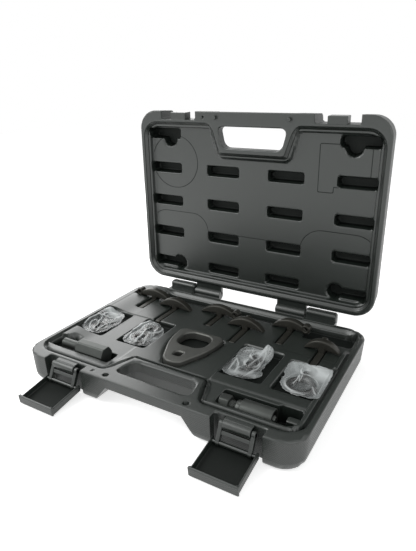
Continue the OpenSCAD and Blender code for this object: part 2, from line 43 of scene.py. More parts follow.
VIEW_ALONG = np.array([-0.48993, 0.80318, -0.33892])
VIEW_ROLL = np.radians(-0.7)
VIEW_SHIFT = (0.0327, -0.0191)
PIXELS_HIGH = 551
FOCAL_PIXELS = 504.4
SENSOR = 36.0
CLIP_START = 0.01


def looking(place, along, roll=0):
    """Matrix of a camera or lamp at a place in metres that looks along a direction, turned by roll."""
    along = along / np.linalg.norm(along)
    right = np.cross(along, [0, 0, 1])
    right /= np.linalg.norm(right)
    right = np.cos(roll) * right + np.sin(roll) * np.cross(right, along)
    matrix = np.eye(4)
    matrix[:3, :3] = np.array([right, np.cross(right, along), -along]).T
    matrix[:3, 3] = place
    return Matrix(matrix.tolist())


camera_data = bpy.data.cameras.new("photo_camera")
camera_data.lens = FOCAL_PIXELS / PIXELS_HIGH * SENSOR
camera_data.sensor_width = SENSOR
camera_data.shift_x, camera_data.shift_y = VIEW_SHIFT
camera_data.clip_start = CLIP_START
camera = bpy.data.objects.new("photo_camera", camera_data)
camera.matrix_world = looking(VIEW_FROM * MM, VIEW_ALONG, VIEW_ROLL)
bpy.context.scene.collection.objects.link(camera)
bpy.context.scene.camera = camera
bpy.context.scene.view_settings.view_transform = "Standard"


def feed(tree, node, inputs):
    """Gives each named input of a node a value or the output of another node."""
    for name, value in inputs.items():
        if isinstance(value, bpy.types.NodeSocket):
            tree.links.new(value, node.inputs[name])
        else:
            node.inputs[name].default_value = value
    return node


def wire(tree, kind, inputs, **settings):
    """A new shader node with its settings and inputs."""
    node = tree.nodes.new("ShaderNode" + kind)
    for name, value in settings.items():
        setattr(node, name, value)
    return feed(tree, node, inputs)


def maths(tree, operation, *values, **settings):
    """Output of a Math node; each value is a number or the output of another node."""
    return wire(tree, "Math", dict(enumerate(values)), operation=operation, **settings).outputs[0]


def seen_by(tree, *rays):
    """1 for rays of the named kinds, 0 for all others."""
    path = wire(tree, "LightPath", {})
    seen = path.outputs[rays[0]]
    for ray in rays[1:]:
        seen = maths(tree, "MAXIMUM", seen, path.outputs[ray])
    return seen


WHITE = (1, 1, 1, 1)
world = bpy.data.worlds.new("studio")
bpy.context.scene.world = world
world.use_nodes = True
sky = world.node_tree
sky.nodes.clear()
sky_light = wire(sky, "Background", {"Color": WHITE, "Strength": 0.5})
sky_white = wire(sky, "Background", {"Color": WHITE, "Strength": 1.0})
sky_seen = seen_by(sky, "Is Camera Ray", "Is Glossy Ray", "Is Transmission Ray")
sky_mix = wire(sky, "MixShader", {"Fac": sky_seen, 1: sky_light.outputs[0], 2: sky_white.outputs[0]})
wire(sky, "OutputWorld", {"Surface": sky_mix.outputs[0]})


def soft_lamp(name, place, aim, size, watts):
    """A square area lamp at a place, facing a point, in metres."""
    data = bpy.data.lights.new(name, "AREA")
    data.size = size
    data.energy = watts
    lamp = bpy.data.objects.new(name, data)
    lamp.matrix_world = looking(place, np.subtract(aim, place))
    bpy.context.scene.collection.objects.link(lamp)


soft_lamp("key_left", (-0.9, -0.7, 1.1), (0, 0, 0.1), 0.9, 12)
soft_lamp("fill_right", (1.1, -0.9, 0.7), (0, 0, 0.1), 1.0, 4)
soft_lamp("back_left", (-0.85, 0.75, 0.5), (-0.1, 0, 0.03), 0.9, 5)


def new_material(name):
    """A new material and its node tree."""
    material = bpy.data.materials.new(name)
    material.use_nodes = True
    return material, material.node_tree


FLOOR_HALF, FLOOR_SUNK = 3.0, 0.0004
floor_mesh = bpy.data.meshes.new("floor")
floor_corners = np.array([[-1, -1, 0], [1, -1, 0], [1, 1, 0], [-1, 1, 0]]) * FLOOR_HALF
floor_mesh.from_pydata((floor_corners - [0, 0, FLOOR_SUNK]).tolist(), [], [(0, 1, 2, 3)])
floor = bpy.data.objects.new("floor", floor_mesh)
bpy.context.scene.collection.objects.link(floor)
floor_paper, paper_tree = new_material("floor_paper")
paper_tree.nodes.clear()
paper = wire(paper_tree, "BsdfDiffuse", {"Color": (0.93, 0.93, 0.93, 1)})
paper_seen = seen_by(paper_tree, "Is Camera Ray", "Is Glossy Ray")
paper_glow = wire(paper_tree, "Emission", {"Color": (0.62, 0.62, 0.62, 1), "Strength": paper_seen})
paper_sum = wire(paper_tree, "AddShader", {0: paper.outputs[0], 1: paper_glow.outputs[0]})
wire(paper_tree, "OutputMaterial", {"Surface": paper_sum.outputs[0]})
floor_mesh.materials.append(floor_paper)


# Case base: the lower half of the case, blown from black polypropylene as one hollow double wall.
# Its inside is a shallow tray with a sunk place for each tool, its outer walls carry a fine
# cross hatch, and a finger opening leaves the grip bar at the front.
case_w, case_d, base_h = 370.0, 268.0, 38.0
half_w, half_d = case_w / 2, case_d / 2
corner_r = 28.0
rim_side, rim_front = 10.0, 20.0
tray_x, tray_front, tray_back = half_w - rim_side, -half_d + rim_front, half_d - rim_side
tray_drop, tray_r = 5.0, 20.0
edge_round, draft = 9.0, 2.0
grip_near, grip_far, grip_depth, grip_bar_h = 104.0, 90.0, 30.0, 14.0
grip_y = tray_front + grip_depth
latch_x, latch_w, latch_in = 117.0, 58.0, 12.0
# Distances from a moulded edge at which the surface has grid lines
EDGE_LINES = np.array([-1.6, -0.7, 0.0, 0.6, 1.7])


def box_distance(x, y, cx, cy, w, d, r):
    """Distance to a rectangle with round corners, negative inside it."""
    qx = np.abs(x - cx) - w / 2 + r
    qy = np.abs(y - cy) - d / 2 + r
    return np.hypot(np.maximum(qx, 0), np.maximum(qy, 0)) + np.minimum(np.maximum(qx, qy), 0) - r


def round_meet(a, b, r):
    """Distance to where two shapes overlap, with the meeting corner rounded by r."""
    corner = np.hypot(np.maximum(a + r, 0), np.maximum(b + r, 0))
    return np.minimum(-r, np.maximum(a, b)) + corner


def convex_distance(x, y, points, r):
    """Distance to a convex outline, given anticlockwise, with its corners rounded by r."""
    reach = np.full(np.shape(x), -1e3)
    for (ax, ay), (bx, by) in zip(points, points[1:] + points[:1]):
        long = np.hypot(bx - ax, by - ay)
        side = ((x - ax) * (by - ay) - (y - ay) * (bx - ax)) / long
        reach = round_meet(reach, side, r)
    return reach


def edge_fall(distance, r):
    """Fall of a surface that rounds off with radius r toward the edge where distance is zero."""
    return r - np.sqrt(r * r - np.clip(distance + r, 0, r) ** 2)


def moulded_drop(inside, depth, lip=1.6, wall=0.6):
    """Drop of a moulded edge at a distance inside it: a round lip, a steep wall and a round foot."""
    r = min(lip, 0.45 * depth)
    down_wall = (depth - 2 * r) * np.clip(inside / wall, 0, 1)
    round_foot = np.sqrt(r * r - (r - np.clip(inside - wall, 0, r)) ** 2)
    return edge_fall(inside, r) + down_wall + round_foot


CLOSEST = 0.32


def grid_lines(low, high, marks, step):
    """Grid lines from low to high: all the marks that are not too close, and no gap over step."""
    marks = np.unique(np.concatenate([[low, high], np.ravel(marks)]))
    marks = marks[(marks >= low) & (marks <= high)]
    kept = [low]
    for mark in marks[1:-1]:
        if mark - kept[-1] > CLOSEST and high - mark > CLOSEST:
            kept.append(mark)
    kept.append(high)
    spans = zip(kept[:-1], kept[1:])
    return np.unique(np.concatenate([np.linspace(a, b, int(np.ceil((b - a) / step)) + 1) for a, b in spans]))


def slope(distance, x, y, small=0.01):
    """How a distance changes along x and along y, from its values a small step to either side."""
    return ((distance(x + small, y) - distance(x - small, y)) / (2 * small),
            (distance(x, y + small) - distance(x, y - small)) / (2 * small))


def onto_edge(x, y, distance):
    """Moves points along the slope of a distance until they lie on its zero line."""
    for _ in range(4):
        d = distance(x, y)
        gx, gy = slope(distance, x, y)
        steep = np.maximum(gx * gx + gy * gy, 1e-6)
        x, y = x - d * gx / steep, y - d * gy / steep
    return x, y


def onto_creases(x, y, creases, reach):
    """Moves points within reach of a slanting stretch of a crease onto it, so the crease runs clean."""
    slanting = 0.12
    for crease in creases:
        gx, gy = slope(crease, x, y)
        near = (np.abs(crease(x, y)) < reach) & (np.minimum(np.abs(gx), np.abs(gy)) > slanting)
        x[near], y[near] = onto_edge(x[near], y[near], crease)
    return x, y


FAR = 9.0


def plain_marks(x, y):
    """Marks of a plain face: neither hatched nor matt with painted shade, and far from any moulded line."""
    return np.tile([0, FAR, FAR], (len(x), 1))


def moulding(xs, ys, outline, top, under, marks=plain_marks, creases=(), reach=1.2):
    """Closed solid over the part of a grid inside an outline, between two surfaces.

    Grid cells that touch the inside are kept. Their outside corners slide onto the outline, so its
    edge is smooth, and points close to a crease slide onto that. top(x, y) gives the upper height,
    under(x, y) the lower place, and a wall of three bands joins the two edges. Returns points,
    faces and three marks a point: 1 on the hatched wall and -1 where the skin is matt and darkened
    with painted shade, the distance to the recess edge, and the distance to a moulded line.
    """
    x, y = (a.ravel() for a in np.meshgrid(xs, ys))
    inside = outline(x, y) < -1e-6
    index = np.arange(len(x)).reshape(len(ys), len(xs))
    cells = np.stack([index[:-1, :-1], index[:-1, 1:], index[1:, 1:], index[1:, :-1]], -1).reshape(-1, 4)
    cells = cells[inside[cells].any(1)]
    used = np.unique(cells)
    renumber = np.full(len(x), -1)
    renumber[used] = np.arange(len(used))
    cells, x, y, inside = renumber[cells], x[used], y[used], inside[used]
    x[inside], y[inside] = onto_creases(x[inside], y[inside], creases, reach)
    x[~inside], y[~inside] = onto_edge(x[~inside], y[~inside], outline)
    upper = np.column_stack([x, y, top(x, y)])
    lower = np.column_stack(under(x, y))
    count = len(x)
    sides = np.stack([cells, np.roll(cells, -1, 1)], -1).reshape(-1, 2)
    key = np.sort(sides, 1) @ np.array([count, 1])
    _, first, copies = np.unique(key, return_index=True, return_counts=True)
    rim = sides[first[copies == 1]]
    ring = np.unique(rim)
    on_ring = np.full(count, -1)
    on_ring[ring] = np.arange(len(ring))
    bands = (0.06, 0.94)
    between = [upper[ring] * (1 - t) + lower[ring] * t for t in bands]
    a, b = rim[:, 0], rim[:, 1]
    levels = [(a, b)]
    levels += [(2 * count + k * len(ring) + on_ring[a], 2 * count + k * len(ring) + on_ring[b])
               for k in range(len(bands))]
    levels.append((count + a, count + b))
    walls = [np.column_stack([p[0], q[0], q[1], p[1]]) for p, q in zip(levels[:-1], levels[1:])]
    faces = np.concatenate([cells, count + cells[:, ::-1], *walls])
    points = np.concatenate([upper, lower, *between])
    wall = np.tile([1, FAR, FAR], (2 * len(ring), 1))
    return points, faces, np.concatenate([np.clip(marks(x, y), -FAR, FAR), plain_marks(x, y), wall])


def welded(points, faces, marks):
    """Joins points closer than a micron, turns the quads that collapse into triangles, faces outward.

    The faces are turned over if the signed volume, the sum of a . (b x c) over the triangles, is
    negative. Returns points, quads, triangles and marks.
    """
    microns = np.round(points * 1000 + 0.137)
    _, first, number = np.unique(microns, axis=0, return_index=True, return_inverse=True)
    faces = number.reshape(-1)[faces]
    twin = faces == np.roll(faces, -1, 1)
    quads = faces[~twin.any(1)]
    one = twin.sum(1) == 1
    triangles = faces[one][~twin[one]].reshape(-1, 3)
    points = points[first]
    volume = 0
    for ring in (quads, triangles):
        a, b, c, d = (points[ring[:, k]] for k in (0, 1, 2, -1))
        volume += np.sum(a * np.cross(b, c)) + np.sum(a * np.cross(c, d))
    if volume < 0:
        quads, triangles = quads[:, ::-1], triangles[:, ::-1]
    return points, quads, triangles, marks[first]


def mesh_piece(name, parts, material):
    """One smooth-shaded object at the origin from closed parts of points in mm, faces and marks."""
    solids = [welded(*p) if len(p) > 2 else welded(*p, plain_marks(*p[0].T[:2])) for p in parts]
    start = np.cumsum([0] + [len(s[0]) for s in solids])
    quads = np.concatenate([s[1] + k for s, k in zip(solids, start)])
    triangles = np.concatenate([s[2] + k for s, k in zip(solids, start)])
    mesh = bpy.data.meshes.new(name)
    mesh.vertices.add(start[-1])
    mesh.vertices.foreach_set("co", (np.concatenate([s[0] for s in solids]) * MM).ravel())
    corners = np.concatenate([quads.ravel(), triangles.ravel()])
    sizes = np.concatenate([np.full(len(quads), 4), np.full(len(triangles), 3)])
    mesh.loops.add(len(corners))
    mesh.loops.foreach_set("vertex_index", corners)
    mesh.polygons.add(len(sizes))
    mesh.polygons.foreach_set("loop_start", np.cumsum(sizes) - sizes)
    mesh.polygons.foreach_set("use_smooth", np.ones(len(sizes), bool))
    mesh.update(calc_edges=True)
    mesh.validate()
    for kind, values in zip(("mark", "edge", "line"), np.concatenate([s[3] for s in solids]).T):
        mesh.attributes.new(kind, "FLOAT", "POINT").data.foreach_set("value", np.ascontiguousarray(values))
    mesh.materials.append(material)
    piece = bpy.data.objects.new(name, mesh)
    bpy.context.scene.collection.objects.link(piece)
    even = piece.modifiers.new("even_normals", "WEIGHTED_NORMAL")
    even.keep_sharp = True
    return piece


def case_outline(x, y):
    """Outline of a case half seen from above, without its latch recesses and finger opening."""
    return box_distance(x, y, 0, 0, case_w, case_d, corner_r)


# Land round the finger opening: its margin at the bar, at the inner corners and at the back
land_near, land_far, land_back = 13.5, 6.8, 11.0
grip_r, land_r, land_meet, latch_r = 9.0, 4.0, 8.0, 1.5
border_out, border_lip = 3.6, 0.8


def grip_opening(x, y):
    """Distance to the finger opening, wider at the grip bar than on its inner side."""
    corners = [(-grip_near / 2, tray_front), (grip_near / 2, tray_front), (grip_far / 2, grip_y),
               (-grip_far / 2, grip_y)]
    return convex_distance(x, y, corners, grip_r)


def tray_edge(x, y):
    """Distance to the recess inside the rim, which bends round the finger opening."""
    tray = box_distance(x, y, 0, (tray_front + tray_back) / 2, 2 * tray_x, tray_back - tray_front, tray_r)
    near, far, back, front = grip_near / 2 + land_near, grip_far / 2 + land_far, grip_y + land_back, -case_d
    land = convex_distance(x, y, [(-near, front), (near, front), (near, tray_front), (far, back),
                                  (-far, back), (-near, tray_front)], land_r)
    return round_meet(tray, -land, land_meet)


def border_drop(x, y):
    """Drop of the slanting border from the rim, border_out outside the recess edge, to the recess's foot."""
    return moulded_drop(border_out - tray_edge(x, y), tray_drop, border_lip, border_out - 1)


def latch_recess(x, y):
    """Distance to the two recesses in the front wall that take the latches."""
    return box_distance(np.abs(x), y, latch_x, -half_d, latch_w, 2 * latch_in, latch_r)


def base_outline(x, y):
    """Outline of the base with its finger opening and latch recesses cut out."""
    cut = np.minimum(grip_opening(x, y), latch_recess(x, y))
    return np.maximum(case_outline(x, y), -cut)


# Places sunk into the tray: centre, width, depth, corner and drop below the rim
bag_place = [(-154, -8, 44, 72), (-82, -7, 44, 74), (78, -9, 52, 74), (145, -13, 52, 68)]
leg_x, leg_y = [-140, -91, -20, 31, 87, 143], [98, 82, 94, 74, 101, 64]
leg_stem = [36, 45, 34, 41, 41, 34]
tray_places = [(x, y, w + 2.4, d + 2.4, 4, 13.1) for x, y, w, d in bag_place]
tray_places += [(x, y - s / 2, 11.4, s + 13.4, 1.5, 15.3) for x, y, s in zip(leg_x, leg_y, leg_stem)]
tray_places += [
    (-125.5, -87, 95, 25.5, 4, 13.3), (108.5, -88, 65.4, 26.4, 3, 26.3), (152.5, -86, 29, 31, 8, 26.3),
    (-12, 113.5, 242, 17, 4, 13), (140, 104, 66, 36, 4, 13)]
yoke_at, yoke_size = (-8.0, -20.0), (66.0, 86.0)


def yoke_outline(x, y, room):
    """Distance to the yoke's outline, apex to the front, grown by some room."""
    w, d = yoke_size[0] / 2 + room, yoke_size[1] / 2 + room
    shoulder, tip = 8.6, 11.2
    points = [(-tip, -d), (tip, -d), (w, shoulder), (w, d), (-w, d), (-w, shoulder)]
    return convex_distance(x - yoke_at[0], y - yoke_at[1], points, 9)


# Round finger hollow beside the adapter, then the room and the drop of the yoke's own place
finger_at, finger_r, finger_drop = (-153.0, -75.5), 10.0, 13.3
yoke_room, yoke_drop = 1.2, 10.8
# Holes in the rim for the lid's pegs and the blow needle: place along the front and radius
peg_x, peg_hole_r, hole_y = 55.0, 3.8, -126.0
rim_holes = [(-peg_x, peg_hole_r), (peg_x, peg_hole_r), (-75.0, 1.5)]
HOLE_LINES = np.array([-1.2, -1.02, -0.85, -0.45, 0, 0.45, 0.85, 1.02, 1.2])
# Low steps of the tray floor, a sunk field on the left and a raised one on the right: centre, width,
# depth, corner and rise
fields = [(-127.5, -34.5, 115, 131, 3, -0.8), (110, -13.5, 120, 107, 3, 0.8)]
field_slope, field_in = 0.8, 2.5
bead_h, rim_round = 4.6, 1.4
first_foot = (-140, 98, 72, 17, 3)
# Inward slant of the rim at the back: fall per mm, how far it reaches, and where it runs out at the sides
slant_fall, slant_in, slant_x, slant_run = 0.18, 6.0, 148.0, 18.0


def ramp(value, start, run):
    """Smooth step of a value from 0 at the start to 1 after the run."""
    t = np.clip((value - start) / run, 0, 1)
    return t * t * (3 - 2 * t)


def level_corner(x, y):
    """1 at the left and back left of the base, where no groove parts the tray from the rim."""
    return ramp(-x, 122, 10) * ramp(y, -25, 15)


def tray_rise(x, y):
    """Rise of the tray's floor along its border, which leaves a narrow groove inside the rim.

    A narrow bead at the finger opening, a wider band on the right, and on the left a gentle slope
    down from the rim, sunk again under the first leg's foot. The back has none of it.
    """
    inside, left, right = -tray_edge(x, y), ramp(-x, 50, 45), ramp(x, 66, 12)
    groove, bead, band, gentle = 1.2, 1.6, 3.6, 34
    fall = 1 - ramp(inside, bead + band * right, 3 + gentle * left)
    rise = np.maximum(np.clip(inside / groove, 0, 1), level_corner(x, y)) * fall
    rise = rise * np.maximum(1 - ramp(y, 58, 20), ramp(-x, 118, 10))
    return bead_h * rise * (box_distance(x, y, *first_foot) > 0)


def hole_drop(x, y, hole_x, hole_r):
    """Drop of a round hole in the front rim."""
    deep, lip, wall = 6, 0.5, 0.3
    return moulded_drop(hole_r - np.hypot(x - hole_x, y - hole_y), deep, lip, wall)


def base_top(x, y):
    """Height of the base's inner face over the grid, rim at base_h; the rim slants inward at the back."""
    drop = border_drop(x, y)
    at_back = (y > tray_back - slant_in) * (1 - ramp(np.abs(x), slant_x, slant_run))
    edge = np.maximum(edge_fall(base_outline(x, y), rim_round), slant_fall * (half_d - y) * at_back)
    sunk = moulded_drop(-yoke_outline(x, y, yoke_room), yoke_drop - tray_drop)
    for place in tray_places:
        sunk = np.maximum(sunk, moulded_drop(-box_distance(x, y, *place[:5]), place[5] - tray_drop))
    finger = finger_r - np.hypot(x - finger_at[0], y - finger_at[1])
    sunk = np.maximum(sunk, moulded_drop(finger, finger_drop - tray_drop))
    for hole in rim_holes:
        sunk = np.maximum(sunk, hole_drop(x, y, *hole))
    rise = tray_rise(x, y)
    within = np.clip((-tray_edge(x, y) - field_in) / 0.5, 0, 1) * (1 - rise / bead_h)
    for field in fields:
        rise = rise + field[5] * within * np.clip(0.5 - box_distance(x, y, *field[:5]) / field_slope, 0, 1)
    pocket = (sunk > 0.01) * (np.maximum(drop, edge) + sunk)
    return base_h - np.maximum(np.maximum(drop - rise, edge), pocket)


def base_marks(x, y):
    """Marks of the base's inner face: matt with painted shade in the sunk places, and the distance to the
    tray's edge.

    The groove at the top of the border is left out, and at the back and the level corner both are.
    """
    past_groove, plain_y = 2, 70
    sunk = base_top(x, y) < base_h - tray_drop - 2
    edge = np.minimum(tray_edge(x, y), past_groove)
    edge = np.where((level_corner(x, y) > 0.5) | (y > plain_y), past_groove, edge)
    # Sunk places get mark -1: rougher, and darkened as painted shade.
    return np.column_stack([-1.0 * sunk, edge, np.full(len(x), FAR)])


# Scoop under the grip bar: how far it runs past the opening, its flare to the sides and its steep back
scoop_back, scoop_flare, scoop_steep, draft_reach = 4.0, 0.8, 40.0, 30.0


def rounded_under(x, y, height):
    """Outer face of a case half: flat, round-edged, with draft, and scooped out under the grip bar."""
    inset = np.clip(-case_outline(x, y), 0, None)
    gx, gy = slope(case_outline, x, y, 0.05)
    shift = draft * np.clip(1 - inset / draft_reach, 0, 1)
    deep = height - grip_bar_h
    beside = (grip_near / 2 + scoop_flare * deep - np.abs(x)) / scoop_flare
    scoop = np.clip(np.minimum(beside, (grip_y + scoop_back - y) * scoop_steep), 0, deep)
    return x - gx * shift, y - gy * shift, np.maximum(edge_fall(-inset, edge_round), scoop)


def both_edges(places, axis, lines=EDGE_LINES):
    """Grid marks for both edges of each place along an axis."""
    return np.ravel([[p[axis] - p[axis + 2] / 2 + lines, p[axis] + p[axis + 2] / 2 - lines] for p in places])


RIM_LINES = np.array([0, 0.35, 0.8, 1.4, 5.0])
TRAY_LINES = np.array([-4.4, -3.6, -2.0, -0.1, 0.4, 1.3, 2.8, 3.4, 4.2, 5.4])
outer_marks_x = np.concatenate([-half_w + RIM_LINES, half_w - RIM_LINES, tray_x - TRAY_LINES,
                                -tray_x + TRAY_LINES])
outer_marks_y = np.concatenate([-half_d + RIM_LINES, half_d - RIM_LINES, tray_front + TRAY_LINES,
                                tray_back - TRAY_LINES])
latch_marks = np.concatenate([latch_x - latch_w / 2 - RIM_LINES[:4], latch_x + latch_w / 2 + RIM_LINES[:4]])
SCOOP_LINES = np.array([3.4, 4, 4.6])
LATCH_LINES = np.array([0, 1])
STEP_LINES = np.array([-0.45, 0.45])
BASE_STEP = 3.6
grip_marks_x = np.arange(47, 72, 1.25)
grip_marks_y = np.concatenate([grip_y + SCOOP_LINES, grip_y + land_back + TRAY_LINES[:7],
                               -half_d + latch_in + LATCH_LINES])
hole_marks_x = np.concatenate([at + r * HOLE_LINES for at, r in rim_holes])
hole_marks_y = hole_y + peg_hole_r * HOLE_LINES
base_xs = grid_lines(-half_w, half_w, np.concatenate(
    [both_edges(tray_places, 0), both_edges(fields, 0, STEP_LINES), outer_marks_x, hole_marks_x,
     latch_marks, -latch_marks, grip_marks_x, -grip_marks_x]), BASE_STEP)
base_ys = grid_lines(-half_d, half_d, np.concatenate(
    [both_edges(tray_places, 1), both_edges(fields, 1, STEP_LINES), outer_marks_y, hole_marks_y,
     grip_marks_y]), BASE_STEP)


def noise(tree, scale, detail=2.0):
    """Output of a noise texture over the object's own coordinates."""
    place = wire(tree, "TexCoord", {}).outputs["Object"]
    return wire(tree, "TexNoise", {"Vector": place, "Scale": scale, "Detail": detail}).outputs["Fac"]


def attribute(tree, name):
    """Value of one of the marks that mesh_piece stores on the points."""
    return wire(tree, "Attribute", {}, attribute_name=name).outputs["Fac"]


def mapped(tree, value, given, wanted, **settings):
    """Output of a Map Range node that takes the given range to the wanted one."""
    limits = {"From Min": given[0], "From Max": given[1], "To Min": wanted[0], "To Max": wanted[1]}
    return wire(tree, "MapRange", {"Value": value, **limits}, **settings).outputs["Result"]


def ended(group, outputs):
    """A node group with its outputs added: a vector for the normal and a value for everything else."""
    for name in outputs:
        kind = "NodeSocketVector" if name == "Normal" else "NodeSocketFloat"
        group.interface.new_socket(name, in_out="OUTPUT", socket_type=kind)
    feed(group, group.nodes.new("NodeGroupOutput"), outputs)
    return group


HATCH = 2100.0


def moulded_skin():
    """Node group for moulded plastic: clouds, fine grain, hatch, matt places with painted shade, and moulded
    lines.

    The hatch is the larger of sin(k (x + y + z)) and sin(k (x + y - z)), lines about 3 mm apart, where
    the mark is 1. Where it is -1 the skin is matt and rougher, and its colour and gloss are darkened
    as painted shade. Fine grooves, bumped in and darkened with painted shade, run along the top and the
    foot of the recess border and along every moulded line. The gloss is lost in the grooves and the
    matt places, and is less between the ridges of the hatch.
    """
    group = bpy.data.node_groups.new("moulded_skin", "ShaderNodeTree")
    place = wire(group, "TexCoord", {}).outputs["Object"]
    mark, edge, line = (attribute(group, name) for name in ("mark", "edge", "line"))
    grain, cloud = noise(group, 900.0, 3.0), noise(group, 14.0, 4.0)
    slants = []
    for down in (HATCH, -HATCH):
        slant = wire(group, "VectorMath", {0: place, 1: (HATCH, HATCH, down)}, operation="DOT_PRODUCT")
        slants.append(maths(group, "SINE", slant.outputs["Value"]))
    hatch = maths(group, "MAXIMUM", *slants)
    walls = maths(group, "MAXIMUM", mark, 0.0)
    height = maths(group, "MULTIPLY_ADD", grain, 0.3, maths(group, "MULTIPLY", hatch, walls))
    # Painted shade: where the mark is -1 the colour falls to 0.3 and the coat gloss is lost.
    painted_shade_factor = mapped(group, mark, (-1.0, 0.0), (0.3, 1.0))
    for distance, middle, half in ((edge, 4.2, 0.9), (edge, 0.2, 0.8), (line, 0.0, 1.0)):
        off = maths(group, "ABSOLUTE", maths(group, "SUBTRACT", distance, middle))
        groove = mapped(group, off, (0.0, half), (1.0, 0.0), interpolation_type="SMOOTHSTEP")
        height = maths(group, "MULTIPLY_ADD", groove, -1.0, height)
        # Painted shade: each groove darkens colour and coat gloss by up to three quarters.
        groove_painted_shade = maths(group, "MULTIPLY_ADD", groove, -0.75, 1.0)
        painted_shade_factor = maths(group, "MULTIPLY", painted_shade_factor, groove_painted_shade)
    shade = maths(group, "MULTIPLY", mapped(group, cloud, (0.0, 1.0), (0.8, 1.2)), painted_shade_factor)
    dull = maths(group, "MULTIPLY", mapped(group, hatch, (-1.0, 1.0), (0.3, 0.0)), walls)
    gloss = mapped(group, painted_shade_factor, (0.25, 1.0), (0.0, 0.62))
    gloss = maths(group, "SUBTRACT", gloss, dull, use_clamp=True)
    rough = mapped(group, cloud, (0.0, 1.0), (0.3, 0.44))
    rough = maths(group, "MULTIPLY_ADD", maths(group, "ABSOLUTE", mark), 0.25, rough)
    bump = wire(group, "Bump", {"Height": height, "Strength": 0.6, "Distance": 0.0008}).outputs["Normal"]
    return ended(group, {"Shade": shade, "Roughness": rough, "Gloss": gloss, "Normal": bump})


case_plastic, plastic_tree = new_material("case_plastic")
skin = wire(plastic_tree, "Group", {}, node_tree=moulded_skin())
# Black plastic colour, scaled by random cloud tone and by the painted shade of matt places and grooves.
black = wire(plastic_tree, "VectorMath", {0: (0.0075, 0.0110, 0.0088), "Scale": skin.outputs["Shade"]},
             operation="SCALE")
feed(plastic_tree, plastic_tree.nodes["Principled BSDF"], {
    "Base Color": black.outputs["Vector"], "Roughness": skin.outputs["Roughness"],
    "Coat Weight": skin.outputs["Gloss"], "Normal": skin.outputs["Normal"],
    "Specular IOR Level": 0.2, "Specular Tint": (0.92, 1.0, 0.95, 1),
    "Coat IOR": 1.85, "Coat Roughness": 0.38})


def grid_faces(rows, columns):
    """Faces of a grid of points whose columns close on themselves."""
    index = np.arange(rows * columns).reshape(rows, columns)
    beside = np.roll(index, -1, 1)
    return np.stack([index[:-1], beside[:-1], beside[1:], index[1:]], -1).reshape(-1, 4)


def rounded_box(low, high, r, steps=3):
    """Box with round edges: each point is a corner of the inner box plus r times a direction.

    The directions run over a ball, split at its quadrants so that each goes to its own corner.
    """
    quarter = np.linspace(0, np.pi / 2, steps + 1)
    around = np.concatenate([quarter + k * np.pi / 2 for k in range(4)])
    up = np.concatenate([quarter - np.pi / 2, quarter])
    sign = np.zeros((2 * (steps + 1), 4 * (steps + 1), 3))
    sign[..., 0] = np.repeat([1, -1, -1, 1], steps + 1)
    sign[..., 1] = np.repeat([1, 1, -1, -1], steps + 1)
    sign[..., 2] = np.repeat([-1, 1], steps + 1)[:, None]
    a, u = np.meshgrid(around, up)
    normal = np.stack([np.cos(u) * np.cos(a), np.cos(u) * np.sin(a), np.sin(u)], -1)
    low, high = np.array(low, float), np.array(high, float)
    points = (low + high) / 2 + sign * ((high - low) / 2 - r) + r * normal
    rows, columns = points.shape[:2]
    first = np.arange(4) * (steps + 1)
    caps = np.array([first[::-1], (rows - 1) * columns + first])
    return points.reshape(-1, 3), np.concatenate([grid_faces(rows, columns), caps])


def spun(along, radius, sides=40):
    """Solid turned about the X axis. radius gives the outline at each place, and may vary round the axis."""
    angle = np.arange(sides) * 2 * np.pi / sides
    radius = np.broadcast_to(np.asarray(radius, float).reshape(len(along), -1), (len(along), sides))
    points = np.stack([np.broadcast_to(np.reshape(along, (-1, 1)), radius.shape), radius * np.cos(angle),
                       radius * np.sin(angle)], -1)
    return points.reshape(-1, 3), grid_faces(len(along), sides)


def rod(start, end, r, edge, sides=40):
    """Round rod along X with rounded end edges."""
    turn = np.linspace(0, np.pi / 2, 5)
    out = r - edge + edge * np.sin(turn)
    back = edge * (1 - np.cos(turn))
    return spun(np.concatenate([[start], start + back, end - back[::-1], [end]]),
                np.concatenate([[0], out, out[::-1], [0]]), sides)


def moved(part, shift):
    """A part moved by a shift."""
    return (part[0] + np.array(shift, float), *part[1:])


hinge_y, hinge_z, knuckle_r = 147.0, 38.0, 7.0
# Hinge blocks of the base: from and to along the hinge, height and edge; arms join them to the wall
base_knuckle, block_low, block_high, block_r, arm_y = (92.5, 138), 31, 49, 4.5, 129.8
# Latch barrels and the webs behind them
barrel_y, barrel_z, barrel_r, barrel_half = -128.0, 31.0, 5.5, 15.5
web_low, web_high, web_y = 25.5, 37, -120.9
edge_r = 0.8
screw_rest = rounded_box((153, -91, 11), (168, -81, 30), 2)
border_creases = [lambda x, y: tray_edge(x, y) - 4, lambda x, y: tray_edge(x, y) - 0.1]
base_creases = border_creases + [lambda x, y: tray_edge(x, y) + 1.3,
                                 lambda x, y: yoke_outline(x, y, yoke_room),
                                 lambda x, y: np.hypot(np.abs(x) - peg_x, y - hole_y) - 4]
base_parts = [moulding(base_xs, base_ys, base_outline, base_top, lambda x, y: rounded_under(x, y, base_h),
                       base_marks, base_creases), screw_rest]
for side in (-1, 1):
    start, end = sorted(side * at for at in base_knuckle)
    near, far = side * latch_x - barrel_half, side * latch_x + barrel_half
    base_parts += [
        rounded_box((start, hinge_y - knuckle_r, block_low), (end, hinge_y + knuckle_r, block_high),
                    block_r),
        rounded_box((start, arm_y, block_low), (end, hinge_y, base_h), edge_r),
        moved(rod(near, far, barrel_r, edge_r), (0, barrel_y, barrel_z)),
        rounded_box((near, barrel_y, web_low), (far, web_y, web_high), edge_r)]
case_base = mesh_piece("case_base_shell", base_parts, case_plastic)
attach(case_base, "case_base")
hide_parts("case_base")


